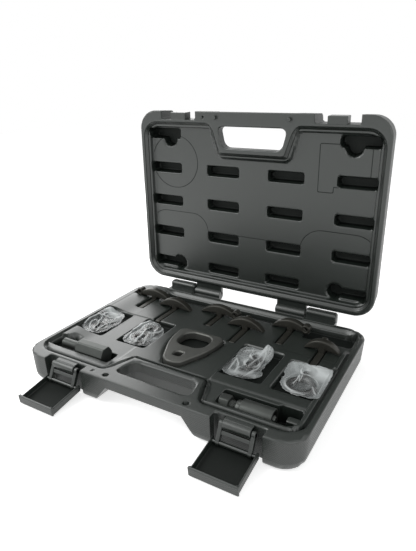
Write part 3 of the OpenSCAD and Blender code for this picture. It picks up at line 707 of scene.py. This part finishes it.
# Case lid: the upper half, blown like the base, open at 88 degrees on its hinge.
# Its inside is one deep panel with 18 blind pockets; two pegs stand out of its rim, and a lug for
# each latch stands in a notch of its front edge.
lid_h, lid_recess, cell_deep, rim_gap, ledge_in = 37.0, 11.0, 15.0, 0.4, 3.4
lid_angle = np.radians(-88)
cell_x, cell_size = (-146.25, -48.75, 48.75, 146.25), (52, 15, 4)
lid_cells = [(x, y, *cell_size) for x in cell_x for y in (108, 56, 4, -48)]
lid_cells += [(x, -100, *cell_size) for x in cell_x[::3]]
keyholes = [(-138.25, -92.5, 11.5), (138.25, -92.5, 11.5), (-128.25, 108, 11.5), (128.25, 108, 11.5)]
# Fields outlined on the panel by fine lines: a stepped one, two arches with a band, and a disc
lined_fields = [(105, -64, 21, 64, 0.5), (128, -68, 67, 56, 0.5), (128, 82, 108, 121, 32),
                (-126.5, 82, 103, 122, 27), (0, 93, 362, 91, 2)]
lined_disc = (-131.5, -58, 40.3)


def swung(part):
    """A part drawn on the shut lid, z up from its rim, turned open about the hinge."""
    x, y, z = np.array(part[0]).T
    y, z = y - hinge_y, z + rim_gap
    turned = np.column_stack([x, hinge_y + y * np.cos(lid_angle) - z * np.sin(lid_angle),
                              hinge_z + y * np.sin(lid_angle) + z * np.cos(lid_angle)])
    return (turned, *part[1:])


def nearest(x, y, boxes, discs=()):
    """Distance to the nearest of some rectangles with round corners and some discs."""
    near = np.full(np.shape(x), 1e3)
    for box in boxes:
        near = np.minimum(near, box_distance(x, y, *box))
    for disc_x, disc_y, r in discs:
        near = np.minimum(near, np.hypot(x - disc_x, y - disc_y) - r)
    return near


def lid_pockets(x, y):
    """Distance to the blind pockets, four of them with a round keyhole end."""
    return nearest(x, y, lid_cells, keyholes)


def lid_top(x, y):
    """Inner face of the lid, rim at zero and pockets below it."""
    panel = moulded_drop(-tray_edge(x, y) - ledge_in, lid_recess - tray_drop, 1.2, 0.8)
    drop = np.maximum(border_drop(x, y) + panel, edge_fall(base_outline(x, y), rim_round))
    sunk = moulded_drop(-lid_pockets(x, y), cell_deep)
    return -drop - np.maximum(sunk, hole_drop(x, y, *rim_holes[2]))


def lid_marks(x, y):
    """Marks of the lid's inner face: matt with painted shade in the pockets, and the distances to its edge
    and its lines.
    """
    edge, pocket, panel_in = tray_edge(x, y), lid_pockets(x, y), 5.2
    line = np.where((pocket < 0.2) | (edge > -panel_in), FAR, nearest(x, y, lined_fields, [lined_disc]))
    # Pockets get mark -1: rougher, and darkened as painted shade.
    return np.column_stack([-1.0 * (pocket < -0.5), edge, line])


def lid_under(x, y):
    """Outer face of the lid, lid_h below the rim of the drawing."""
    x, y, z = rounded_under(x, y, lid_h)
    return x, y, z - lid_h


LID_STEP = 2.6
keyhole_marks = np.array(keyholes).T[:2, :, None] + np.arange(-13, 13.1, 1.3)
lid_xs = grid_lines(-half_w, half_w, np.concatenate(
    [both_edges(lid_cells, 0), outer_marks_x, hole_marks_x, latch_marks, -latch_marks,
     keyhole_marks[0].ravel()]), LID_STEP)
lid_ys = grid_lines(-half_d, half_d, np.concatenate(
    [both_edges(lid_cells, 1), outer_marks_y, hole_marks_y, grip_marks_y,
     keyhole_marks[1].ravel()]), LID_STEP)
lid_points, lid_faces, lid_skin = moulding(lid_xs, lid_ys, base_outline, lid_top, lid_under, lid_marks,
                                           border_creases + [lid_pockets])
lid_parts = [swung((lid_points * [1, 1, -1], lid_faces, lid_skin))]
lid_knuckle, lid_arm_h = (47, 92), 6.6
lug_half, lug_y, lug_h = 12.5, -131.8, 16.5
peg_long, peg_root, peg_r = 4.0, 2, 2.7
for side in (-1, 1):
    start, end = sorted(side * at for at in lid_knuckle)
    middle = side * latch_x
    peg_points, peg_faces = rod(-peg_long, peg_root, peg_r, 0.5, 24)
    lid_parts += [
        moved(rod(start, end, knuckle_r, edge_r), (0, hinge_y, hinge_z)),
        swung(rounded_box((start, arm_y, 0), (end, hinge_y, lid_arm_h), edge_r)),
        swung(rounded_box((middle - lug_half, lug_y, 0), (middle + lug_half, web_y, lug_h), 1)),
        swung((peg_points[:, [1, 2, 0]] + [side * peg_x, hole_y, 0], peg_faces))]
case_lid = mesh_piece("case_lid_shell", lid_parts, case_plastic)
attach(case_lid, "case_lid")
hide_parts("case_lid", "lid_panel")


# Latches: each has a link that clips round the barrel of the base and a flap that hangs from it.
# Both are injection moulded from the same black plastic; the flap is a tray with a hooked end lip.
flap_y, flap_z = -136.5, 13.0
link_long = np.hypot(flap_y - barrel_y, flap_z - barrel_z)
link_down = np.array([flap_y - barrel_y, flap_z - barrel_z]) / link_long
flap_turn = np.radians(98.305)
# Link: its bar and its web, then its two cheeks with an eye at each end and a stub for the flap
bar_half, bar_r, web_t, web_from, web_to = 16, 2.5, 4, 6.5, 11
cheek, cheek_t, barrel_eye_r, flap_eye_r, stub, stub_r = (15.8, 20.3), 6, 3.6, 3.2, (18, 25.7), 2
# Flap laid flat: centre, width, depth and corner of its plate, end lip, floor, and the matt floor darkened
# with painted shade
flap_plate, flap_lip = (0, 20.5, 52, 49, 1.2), (0, 43.75, 54, 2.5, 1.0)
flap_floor, flap_matt_shaded_floor = (0, 11.25, 48, 62.5, 1), (0, 11.25, 47, 60, 1)
flap_wall_h, flap_lip_h, flap_floor_h, flap_pivot, lip_from = 9, 3, 2.5, 6, 41.3


def on_link(part, middle):
    """A part drawn with z down the link from the barrel and y across it, set on a latch."""
    x, y, z = np.array(part[0]).T
    across = np.array([link_down[1], -link_down[0]])
    placed = np.column_stack([x + middle, barrel_y + y * across[0] + z * link_down[0],
                              barrel_z + y * across[1] + z * link_down[1]])
    return (placed, *part[1:])


def flap_outline(x, y):
    """Outline of the flap laid flat, its hooked end a little wider."""
    return nearest(x, y, [flap_plate, flap_lip])


def flap_top(x, y):
    """Inner face of the flap: a plate between two side walls and a higher end lip."""
    crest = flap_wall_h + flap_lip_h * np.clip((y - lip_from) / 0.6, 0, 1)
    sunk = moulded_drop(-box_distance(x, y, *flap_floor), 1, 0.4, 0.3)
    return crest - np.maximum(sunk * (crest - flap_floor_h), edge_fall(flap_outline(x, y), 0.9))


def flap_marks(x, y):
    """Marks of the flap's inner face: matt and darkened with painted shade on its floor."""
    floor = box_distance(x, y, *flap_matt_shaded_floor) < 0
    # The floor gets mark -1: rougher, and darkened as painted shade.
    return np.column_stack([-1.0 * floor, np.full((len(x), 2), FAR)])


FLAP_LINES = np.array([0, 0.3, 0.9, 1.6, 2.0, 2.4, 3.0])
FLAP_STEP = 2.5
flap_xs = grid_lines(-27, 27, np.concatenate([26 - FLAP_LINES, FLAP_LINES - 26, [-26.6, 26.6]]), FLAP_STEP)
flap_ys = grid_lines(-4, 45, np.concatenate([FLAP_LINES - 4, 45 - FLAP_LINES, [41.3, 41.6, 41.9, 42.2]]),
                     FLAP_STEP)
for side, hand in ((-1, "left"), (1, "right")):
    middle = side * latch_x
    link_parts = [moved(rod(-bar_half, bar_half, bar_r, 0.3, 24), (0, 0, link_long)),
                  rounded_box((-bar_half, -web_t / 2, web_from), (bar_half, web_t / 2, web_to), 0.6)]
    for end in (-1, 1):
        near, far = sorted(end * at for at in cheek)
        out_from, out_to = sorted(end * at for at in stub)
        link_parts += [rounded_box((near, -cheek_t / 2, -2), (far, cheek_t / 2, link_long + 1), 1),
                       rod(near, far, barrel_eye_r, edge_r, 32),
                       moved(rod(near, far, flap_eye_r, edge_r, 32), (0, 0, link_long)),
                       moved(rod(out_from, out_to, stub_r, 0.3, 24), (0, 0, link_long))]
    link_parts = [on_link(part, middle) for part in link_parts]
    link = mesh_piece("latch_link_%s_frame" % hand, link_parts, case_plastic)
    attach(link, "latch_link_%s" % hand)
    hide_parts("latch_link_%s" % hand)
    points, faces, marks = moulding(
        flap_xs, flap_ys, flap_outline, flap_top,
        lambda x, y: (x, y, edge_fall(flap_outline(x, y), 1.2)), flap_marks)
    shut_y, shut_z = points[:, 2] - flap_pivot, points[:, 1]
    points = np.column_stack([points[:, 0] + middle,
                              flap_y + shut_y * np.cos(flap_turn) - shut_z * np.sin(flap_turn),
                              flap_z + shut_y * np.sin(flap_turn) + shut_z * np.cos(flap_turn)])
    flap = mesh_piece("latch_flap_%s_tray" % hand, [(points, faces, marks)], case_plastic)
    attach(flap, "latch_flap_%s" % hand)
    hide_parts("latch_flap_%s" % hand)


# Hinge pins: two drawn steel wires pushed through the knuckles of both halves.
# They are bare and a little dull, and show only in the narrow gap between two knuckles.
def steel_skin():
    """Node group for steel: soft clouds as a mask, and a fine pitted normal."""
    group = bpy.data.node_groups.new("steel_skin", "ShaderNodeTree")
    pits = wire(group, "Bump", {"Height": noise(group, 1400.0), "Strength": 0.12, "Distance": 0.0002})
    return ended(group, {"Cloud": noise(group, 60.0, 6.0), "Normal": pits.outputs["Normal"]})


pitted_steel = steel_skin()


def metal(name, dark, light, rough, shine):
    """Steel whose colour and roughness change with the clouds of the steel skin."""
    material, tree = new_material(name)
    steel = wire(tree, "Group", {}, node_tree=pitted_steel)
    cloud = steel.outputs["Cloud"]
    shade = wire(tree, "Mix", {"Factor": cloud, "A": (*dark, 1), "B": (*light, 1)}, data_type="RGBA")
    feed(tree, tree.nodes["Principled BSDF"], {
        "Base Color": shade.outputs["Result"], "Metallic": shine, "Normal": steel.outputs["Normal"],
        "Roughness": mapped(tree, cloud, (0.0, 1.0), (rough - 0.1, rough + 0.1))})
    return material


pin_steel = metal("pin_steel", (0.32, 0.32, 0.31), (0.45, 0.45, 0.44), 0.35, 1.0)
pin_reach, pin_r = (49, 136), 2
for side, hand in ((-1, "left"), (1, "right")):
    start, end = sorted(side * at for at in pin_reach)
    wire_part = moved(rod(start, end, pin_r, 0.4, 24), (0, hinge_y, hinge_z))
    pin = mesh_piece("hinge_pin_%s_wire" % hand, [wire_part], pin_steel)
    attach(pin, "case_base")
    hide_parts("hinge_pin_%s" % hand)


# Yoke plate: a forged steel plate with a large rounded opening and a small square hole.
# Its edges are broken all round and its skin is a grey phosphate.
yoke_steel = metal("yoke_steel", (0.078, 0.08, 0.074), (0.115, 0.118, 0.108), 0.42, 0.55)
yoke_low, yoke_high = 27.5, 38.5
# Openings of the yoke about its middle: centre, width, depth and corner
yoke_eye, yoke_hole = (0, 18.5, 42, 37, 14), (0, -22, 11, 11, 3)


def yoke_edge(x, y):
    """Outline of the yoke with its two openings cut out."""
    return np.maximum(yoke_outline(x, y, 0), -nearest(x - yoke_at[0], y - yoke_at[1], [yoke_eye, yoke_hole]))


YOKE_STEP = 0.9
yoke_lines = [grid_lines(at - half, at + half, at + np.outer([-1, 1], half - RIM_LINES), YOKE_STEP)
              for at, half in zip(yoke_at, np.array(yoke_size) / 2)]
yoke = mesh_piece("yoke_plate_forging", [moulding(
    *yoke_lines, yoke_edge, lambda x, y: yoke_high - edge_fall(yoke_edge(x, y), 1.8),
    lambda x, y: (x, y, yoke_low + edge_fall(yoke_edge(x, y), 1.2)))], yoke_steel)
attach(yoke, "yoke_plate")
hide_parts("yoke_plate")


# Hex adapter, sleeve and pressure screw: turned and milled steel with a grey phosphate skin.
# The adapter is a hexagon with a round spigot, the screw runs through the collared sleeve.
tool_steel = metal("tool_steel", (0.040, 0.044, 0.041), (0.074, 0.081, 0.075), 0.38, 0.6)
HEX_SIDES = 72


def hexagon(flat, limit, sides=HEX_SIDES):
    """Radius round a hexagon with flats at a distance, cut to a round limit; a flat faces up."""
    angle = np.arange(sides) * 2 * np.pi / sides
    turn = (angle + np.pi / 6 - np.pi / 2) % (np.pi / 3) - np.pi / 6
    return np.minimum(flat / np.cos(turn), limit)


adapter_at, screw_at = (0, -87, 35), (0, -88, 24)
spigot_x, spigot_r = [-158, -158, -157.3, -136.5, -130.3, -130, -130], [0, 5.2, 6, 6, 9.6, 9.7, 10.2]
hex_x, hex_limit = [-129, -87, -86, -86], [11.3, 11.3, 10.4, 0]
adapter_r = [np.full(HEX_SIDES, r) for r in spigot_r] + [hexagon(10 if r > 0 else 0, r) for r in hex_limit]
adapter_part = moved(spun(spigot_x + hex_x, np.array(adapter_r), HEX_SIDES), adapter_at)
adapter = mesh_piece("hex_adapter_turned", [adapter_part], tool_steel)
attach(adapter, "hex_adapter")
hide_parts("hex_adapter")

sleeve_x = [97, 97, 97.8, 103, 103, 103.8, 139.2, 140, 140, 97, 97]
sleeve_r = [7.25, 8.2, 9, 9, 11.2, 12, 12, 11.2, 7.25, 7.25, 7.25]
sleeve = mesh_piece("screw_sleeve_turned", [moved(spun(sleeve_x, sleeve_r, 64), screw_at)], tool_steel)
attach(sleeve, "screw_sleeve")
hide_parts("screw_sleeve")

THREAD_PITCH, THREAD_DEEP, THREAD_R = 1.75, 0.9, 7
thread_x = np.linspace(89.4, 100, 64)
thread_turn = thread_x[:, None] / THREAD_PITCH - np.arange(HEX_SIDES) / HEX_SIDES
thread_r = THREAD_R - THREAD_DEEP * np.abs(2 * (thread_turn % 1) - 1)
head_x, head_out = [77, 77, 78, 88, 89, 89], [0, 9.9, 10.8, 10.8, 9.9, 6.1]
head_r = [hexagon(9.5 if r > THREAD_R else r, r) for r in head_out]
shank_x, shank_out = [100.4, 136, 141.6, 142, 142], [6.9, 6.9, 3.9, 3.3, 0]
shank_r = [np.full(HEX_SIDES, r) for r in shank_out]
screw_part = spun(np.concatenate([head_x, thread_x, shank_x]), np.concatenate([head_r, thread_r, shank_r]),
                  HEX_SIDES)
screw = mesh_piece("pressure_screw_turned", [moved(screw_part, screw_at)], tool_steel)
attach(screw, "pressure_screw")
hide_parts("pressure_screw")


# Puller legs: six drop-forged legs, each a crescent foot across a straight square stem.
# The stems lie in their slots, and the feet stand on the tray in a dark phosphate skin.
leg_span = [64, 56, 62, 55, 54, 46]
leg_eye = [-1, 0, 1, 0, 1, 0]
foot_z, foot_rise, crown, foot_t, boss_r, boss_long = 33.3, 15.0, 12.5, 11.0, 4.5, 9
stem_low, stem_high, stem_half, stem_r, post_up = 23.0, 32, 4.5, 2, 4
eye_out, eye_in, eye_from_end, eye_up = 6, 3, 5, 6
leg_steel = metal("leg_steel", (0.022, 0.022, 0.018), (0.042, 0.041, 0.034), 0.4, 0.45)


def crescent(half, rise, thick, wide):
    """Foot between two arcs from point to point: z = sqrt(R^2 - x^2) - (R - top) for each arc."""
    rows, columns = 45, 36
    x = half * np.sin(np.linspace(-np.pi / 2, np.pi / 2, rows))[:, None]
    low = rise - thick
    outer, inner = (half * half + rise * rise) / (2 * rise), (half * half + low * low) / (2 * low)
    high_arc = np.sqrt(outer ** 2 - x ** 2) - outer + rise
    low_arc = np.sqrt(inner ** 2 - x ** 2) - inner + low
    turn = np.linspace(0, 2 * np.pi, columns, endpoint=False)[None]
    square = 0.4
    side = np.sign(np.cos(turn)) * np.abs(np.cos(turn)) ** square
    up = np.sign(np.sin(turn)) * np.abs(np.sin(turn)) ** square
    y = wide / 2 * (1 - 0.3 * (x / half) ** 4) * side
    z = (high_arc + low_arc) / 2 + (high_arc - low_arc) / 2 * up
    points = np.stack(np.broadcast_arrays(x, y, z), -1)
    return points.reshape(-1, 3), grid_faces(rows, columns)


def eyelet(r_out, r_in, wide, edge, sides=40):
    """Flat ring about the X axis with rounded edges."""
    turn = np.linspace(0, np.pi / 2, 4)
    half, back, fall = wide / 2, edge * (1 - np.cos(turn)), edge * (1 - np.sin(turn))
    x = np.concatenate([-half + back, half - back[::-1], half - back, -half + back[::-1], [-half]])
    r = np.concatenate([r_out - fall, r_out - fall[::-1], r_in + fall, r_in + fall[::-1], [r_out - edge]])
    return spun(x, r, sides)


for number in range(6):
    half = leg_span[number] / 2
    at_x, at_y = leg_x[number], leg_y[number]
    left, right, near, far = at_x - stem_half, at_x + stem_half, at_y - foot_t / 2, at_y + foot_t / 2
    leg_parts = [
        moved(crescent(half, foot_rise, crown, foot_t), (at_x, at_y, foot_z)),
        rounded_box((left, near - leg_stem[number], stem_low), (right, at_y, stem_high), stem_r),
        rounded_box((left, near, stem_low), (right, far, foot_z + foot_rise - crown + post_up), stem_r)]
    if leg_eye[number]:
        points, faces = eyelet(eye_out, eye_in, foot_t, 1)
        shift = (at_x + leg_eye[number] * (half - eye_from_end), at_y, foot_z + eye_up)
    else:
        points, faces = rod(0, boss_long, boss_r, edge_r)
        shift = (at_x, at_y + 0.5, foot_z + foot_rise - boss_r)
    leg_parts.append((points[:, [2, 0, 1]] + np.array(shift), faces))
    leg = mesh_piece("puller_leg_%d_forging" % (number + 1), leg_parts, leg_steel)
    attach(leg, "puller_leg_%d" % (number + 1))
    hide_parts("puller_leg_%d" % (number + 1))


# Loose rings: nine turned steel rings in the bags, with a smooth dark skin.
# They lie flat on the bottom of their bags.
bag_rings = {"1a": (0, -13.5, 12.5, 8), "1b": (0, 13.5, 12.5, 8), "2a": (1, -13.5, 13, 9),
             "2b": (1, 13.5, 13, 9), "3a": (2, -18, 8, 4), "3b": (2, 0, 8, 4), "3c": (2, 18, 8, 4),
             "4a": (3, -8, 17, 12), "4b": (3, 18, 7, 3.5)}
ring_z, ring_t = 28.6, 5
ring_steel = metal("ring_steel", (0.03, 0.028, 0.025), (0.07, 0.066, 0.06), 0.3, 0.8)
for name, (bag, along, r_out, r_in) in bag_rings.items():
    points, faces = eyelet(r_out, r_in, ring_t, 0.6, 48)
    middle = np.array([bag_place[bag][0], bag_place[bag][1] + along, ring_z])
    ring = mesh_piece("ring_%s_turned" % name, [(points[:, [1, 2, 0]] + middle, faces)], ring_steel)
    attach(ring, "parts_bag_%d" % (bag + 1))
    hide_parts("ring_" + name)


# Parts bags: four small bags welded from clear polyethylene film, each holding loose rings.
# The film sags over the rings, is gathered in folds and thins out to a welded border; the third
# bag is twisted shut at its back.
bag_outlines = [
    [(-22, -27), (-3, -34), (14, -31), (17, -9), (16, 16), (8, 33), (-14, 36.5), (-22, 35), (-22.6, 4)],
    [(-16.5, -32), (6, -34.5), (20, -29), (21.5, -9), (21, 10), (8, 24), (-10, 31), (-21, 25), (-21.5, -4)],
    [(-24, -32), (-5, -35), (8, -33), (22, -19), (15, -7), (14, 10), (17, 27), (14, 36), (3, 35), (-7, 33),
     (-22, 33), (-25, 6)],
    [(-18, -23), (-23, 0.6), (-25, 29), (-2, 32), (24, 33), (25.5, 10), (25, -26), (9, -30), (-4, -31)]]
# Folds of each bag: both ends, half width, height and how white the crease is, as crease whitening and
# painted highlight
bag_folds = [
    [(-20, -22, -18, 6, 3, 2.0, 0.9), (-18, 6, 2, 14, 3, 2.0, 0.9), (2.5, -29, -10, 3, 2.2, 2.4, 1.0),
     (8, -30, 8, -11, 2.5, 1.6, 1.0), (8, -11, 12, 10, 3, 1.2, 0.3), (-16, 30, 4, 22, 4, 1.5, 0.5),
     (-14, 28, 6, 20, 24, 0.4, 0.7)],
    [(-20, -4, -20, 16, 3.5, 2.2, 1.0), (-20, 16, -14, 28, 3.5, 2.2, 1.0), (4, -31, -1, -6, 3.4, 3.0, 1.0),
     (-1, -6, -3, 12, 3.0, 2.4, 1.0), (9, -10, 15, -28, 2, 1.0, 0.9), (-16, -28, -19, -8, 2, 1.0, 0.4),
     (14, -4, 8, 18, 2.5, 1.0, 0.3), (12, -20, 18, -8, 12, 0.4, 0.4)],
    [(-18, -25, -21, 2, 2.4, 1.8, 0.9), (-21, 2, -13, -10, 2.4, 1.6, 0.8),
     (-13, -10, -9, -27, 2.2, 1.6, 0.9), (6, 33, -12, 3, 3.6, 2.4, 0.4), (7, 33, 2, -10, 3.6, 2.6, 0.5),
     (8, 33, 12, -8, 2.6, 1.8, 0.7), (12, -8, 5, -30, 2.4, 1.5, 0.9), (5, 32, -18, 22, 3.0, 1.6, 0.6),
     (-6, -6, -7, 5, 3, 1.4, 1.0), (7, 34, 3, 20, 18, 0.4, 0.7), (-14, -28, 14, -24, 14, 0.4, 0.45)],
    [(-8, -14, -6, 4, 1.8, 1.6, 1.0), (-6, 4, -3.5, -5, 1.6, 1.2, 0.9), (-3.5, -5, -3, 6, 1.6, 1.2, 0.9),
     (14, -12, 21, -21, 2, 1.4, 1.0), (-5, -29, 10, -27, 1.8, 1.0, 0.8), (-20, 28, 22, 30, 3, 0.8, 0.3),
     (22, 26, 23, -18, 2.2, 1.0, 0.5), (4, 27, 22, 19, 34, 0.3, 0.9)]]
bag_haze = [0.16, 0.16, 0.18, 0.34]
# Neck of the twisted bag: place, height and the square of its spread
bag_neck = {2: (9.5, 31, 8, 42)}
# Rise of a bag's border where it leans on the edge of its place: at the left, and at the back
bag_lean = [(5.5, 0), (0, 2.5), (0, 3), (0, 3.6)]
film_border, film_low, film_least, film_t = 32.0, 25.5, 28.5, 0.2
film_rows, film_columns = 72, 192
slack_seed, slack_count, slack_reach = 11, 12, (22, 32)


def fold_ridges(x, y, folds):
    """Height and whiteness of straight folds, which fall off with the distance to their line; the whiteness
    is partly crease whitening and partly painted highlight.
    """
    height, white_and_highlight = np.zeros(np.shape(x)), np.zeros(np.shape(x))
    for ax, ay, bx, by, wide, high, shine in folds:
        long = np.hypot(bx - ax, by - ay)
        along = np.clip(((x - ax) * (bx - ax) + (y - ay) * (by - ay)) / long ** 2, 0, 1)
        off = np.hypot(x - ax - along * (bx - ax), y - ay - along * (by - ay))
        height = np.maximum(height, high * np.cos(np.pi / 2 * np.clip(off / (1.4 * wide), 0, 1)) ** 2)
        # Crease white: partly whitening of the film, partly painted highlight.
        white_and_highlight = np.maximum(white_and_highlight, shine * np.clip(1 - off / (0.5 * wide), 0, 1))
    return height, white_and_highlight


def slack(x, y, seed, count, reach):
    """Shallow random waves of slack film, each a soft ridge with its own width, length and heading."""
    random = np.random.default_rng(seed)
    height = np.zeros(np.shape(x))
    for _ in range(count):
        at_x, at_y = random.uniform(-reach[0], reach[0]), random.uniform(-reach[1], reach[1])
        turn, long, wide = random.uniform(0, np.pi), random.uniform(9, 22), random.uniform(3.5, 8)
        along = (x - at_x) * np.cos(turn) + (y - at_y) * np.sin(turn)
        off = (y - at_y) * np.cos(turn) - (x - at_x) * np.sin(turn)
        height += random.uniform(-0.6, 0.6) * np.exp(-(along / long) ** 2 - (off / wide) ** 2)
    return height


def film_bag(number):
    """Closed bag over a star-shaped outline: rings of points from its middle to the border, above and below.

    Upper height = border + (1 - rho^4) * (drape over the rings + slack) + folds, lower height =
    border - (1 - rho^6) * sag. The neck of a twisted bag is lifted by a bell curve.
    """
    corner = np.array(bag_outlines[number], float)
    turn = np.arctan2(corner[:, 1], corner[:, 0])
    angle = np.linspace(-np.pi, np.pi, film_columns, endpoint=False)
    order = np.argsort(turn)
    reach = np.interp(angle, turn[order], np.hypot(*corner[order].T), period=2 * np.pi)
    reach *= 1 + 0.012 * np.sin(13 * angle + number) + 0.01 * np.sin(29 * angle)
    rho = np.linspace(0, 1, film_rows)[:, None]
    x, y = rho * reach * np.cos(angle), rho * reach * np.sin(angle)
    folds, white_and_highlight = fold_ridges(x, y, bag_folds[number])
    waves = slack(x, y, slack_seed + number, slack_count, slack_reach)
    drape, haze = np.zeros(x.shape), np.full(x.shape, 0.5 * bag_haze[number])
    for bag, along, r_out, r_in in bag_rings.values():
        if bag == number:
            off = np.abs(np.hypot(x, y - along) - (r_out + r_in) / 2) - (r_out - r_in) / 2
            drape = np.maximum(drape, 1.8 * ramp(-off, -4, 4))
            taut = np.hypot(x, y - along) - r_out - 1.6
            # Painted highlight: white arcs where the film is drawn taut round each ring.
            painted_ring_highlight = 0.5 + 0.5 * np.sin(2 * np.arctan2(y - along, x) + 1.2 + along)
            white_and_highlight = np.maximum(white_and_highlight, 0.8 * painted_ring_highlight * np.exp(-(taut / 1.1) ** 2))
            haze = haze * (0.35 + 0.65 * ramp(taut, -1.5, 3))
    lean_left, lean_back = bag_lean[number]
    border = film_border + lean_left * ramp(-x, 6, 14) * ramp(y, -30, 20) + lean_back * ramp(y, 8, 24)
    dome = 1 - rho ** 4
    upper = border - 0.6 + dome * (0.4 + drape + waves) + folds + 0.5 * (1 - dome) * waves
    if number in bag_neck:
        neck_x, neck_y, neck_high, spread = bag_neck[number]
        lift = np.exp(-(((x - neck_x) ** 2 + (y - neck_y) ** 2) / spread) ** 2)
        upper = upper + neck_high * lift
        # The twisted neck is whitened: partly crease whitening of the bunched film, partly painted
        # highlight.
        white_and_highlight = np.maximum(white_and_highlight, 0.9 * lift * (0.6 + 0.4 * np.sin(1.9 * x)))
    upper = np.maximum(upper, film_least)
    lower = np.minimum(border - (border - film_low) * (1 - rho ** 6), upper - film_t)
    lower[-1] = upper[-1]
    sheets = [np.stack(np.broadcast_arrays(x, y, z), -1).reshape(-1, 3) for z in (upper, lower)]
    faces = grid_faces(*x.shape)
    milk_and_highlight = np.concatenate([(white_and_highlight + haze).ravel(), 3 * haze.ravel()])
    marks = np.column_stack([milk_and_highlight, np.zeros((len(milk_and_highlight), 2))])
    return np.concatenate(sheets), np.concatenate([faces, x.size + faces[:, ::-1]]), marks


FILM_IOR = 1.5


def clear_film():
    """Clear film: see-through, white along its sharp folds (crease whitening and painted highlight) and in
    painted highlights round the rings, hazy in patches, mirror-like as it turns away.

    The sheet on the far side is met from inside the bag, so its index is turned over there.
    """
    material, tree = new_material("clear_film")
    patch = mapped(tree, noise(tree, 55.0, 1.5), (0.5, 0.85), (0.0, 0.25))
    milk_and_highlight = maths(tree, "MULTIPLY_ADD", attribute(tree, "mark"), 0.7, patch, use_clamp=True)
    inner_side = wire(tree, "NewGeometry", {}).outputs["Backfacing"]
    index = mapped(tree, inner_side, (0.0, 1.0), (FILM_IOR, 1 / FILM_IOR))
    bent = wire(tree, "Fresnel", {"IOR": index}).outputs["Fac"]
    see = wire(tree, "BsdfTransparent", {"Color": (0.96, 0.97, 0.97, 1)})
    mirror = wire(tree, "BsdfGlossy", {"Color": WHITE, "Roughness": 0.3})
    # White diffuse mixed in for haze, crease whitening and painted highlight.
    white_and_highlight = wire(tree, "BsdfDiffuse", {"Color": (0.76, 0.8, 0.8, 1)})
    clear = wire(tree, "MixShader", {"Fac": bent, 1: see.outputs[0], 2: mirror.outputs[0]})
    both = wire(tree, "MixShader", {"Fac": milk_and_highlight, 1: clear.outputs[0], 2: white_and_highlight.outputs[0]})
    feed(tree, tree.nodes["Material Output"], {"Surface": both.outputs[0]})
    return material


film = clear_film()
for number, place in enumerate(bag_place):
    bag = mesh_piece("parts_bag_%d_film" % (number + 1), [moved(film_bag(number), (*place[:2], 0))], film)
    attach(bag, "parts_bag_%d" % (number + 1))
    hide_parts("parts_bag_%d" % (number + 1))
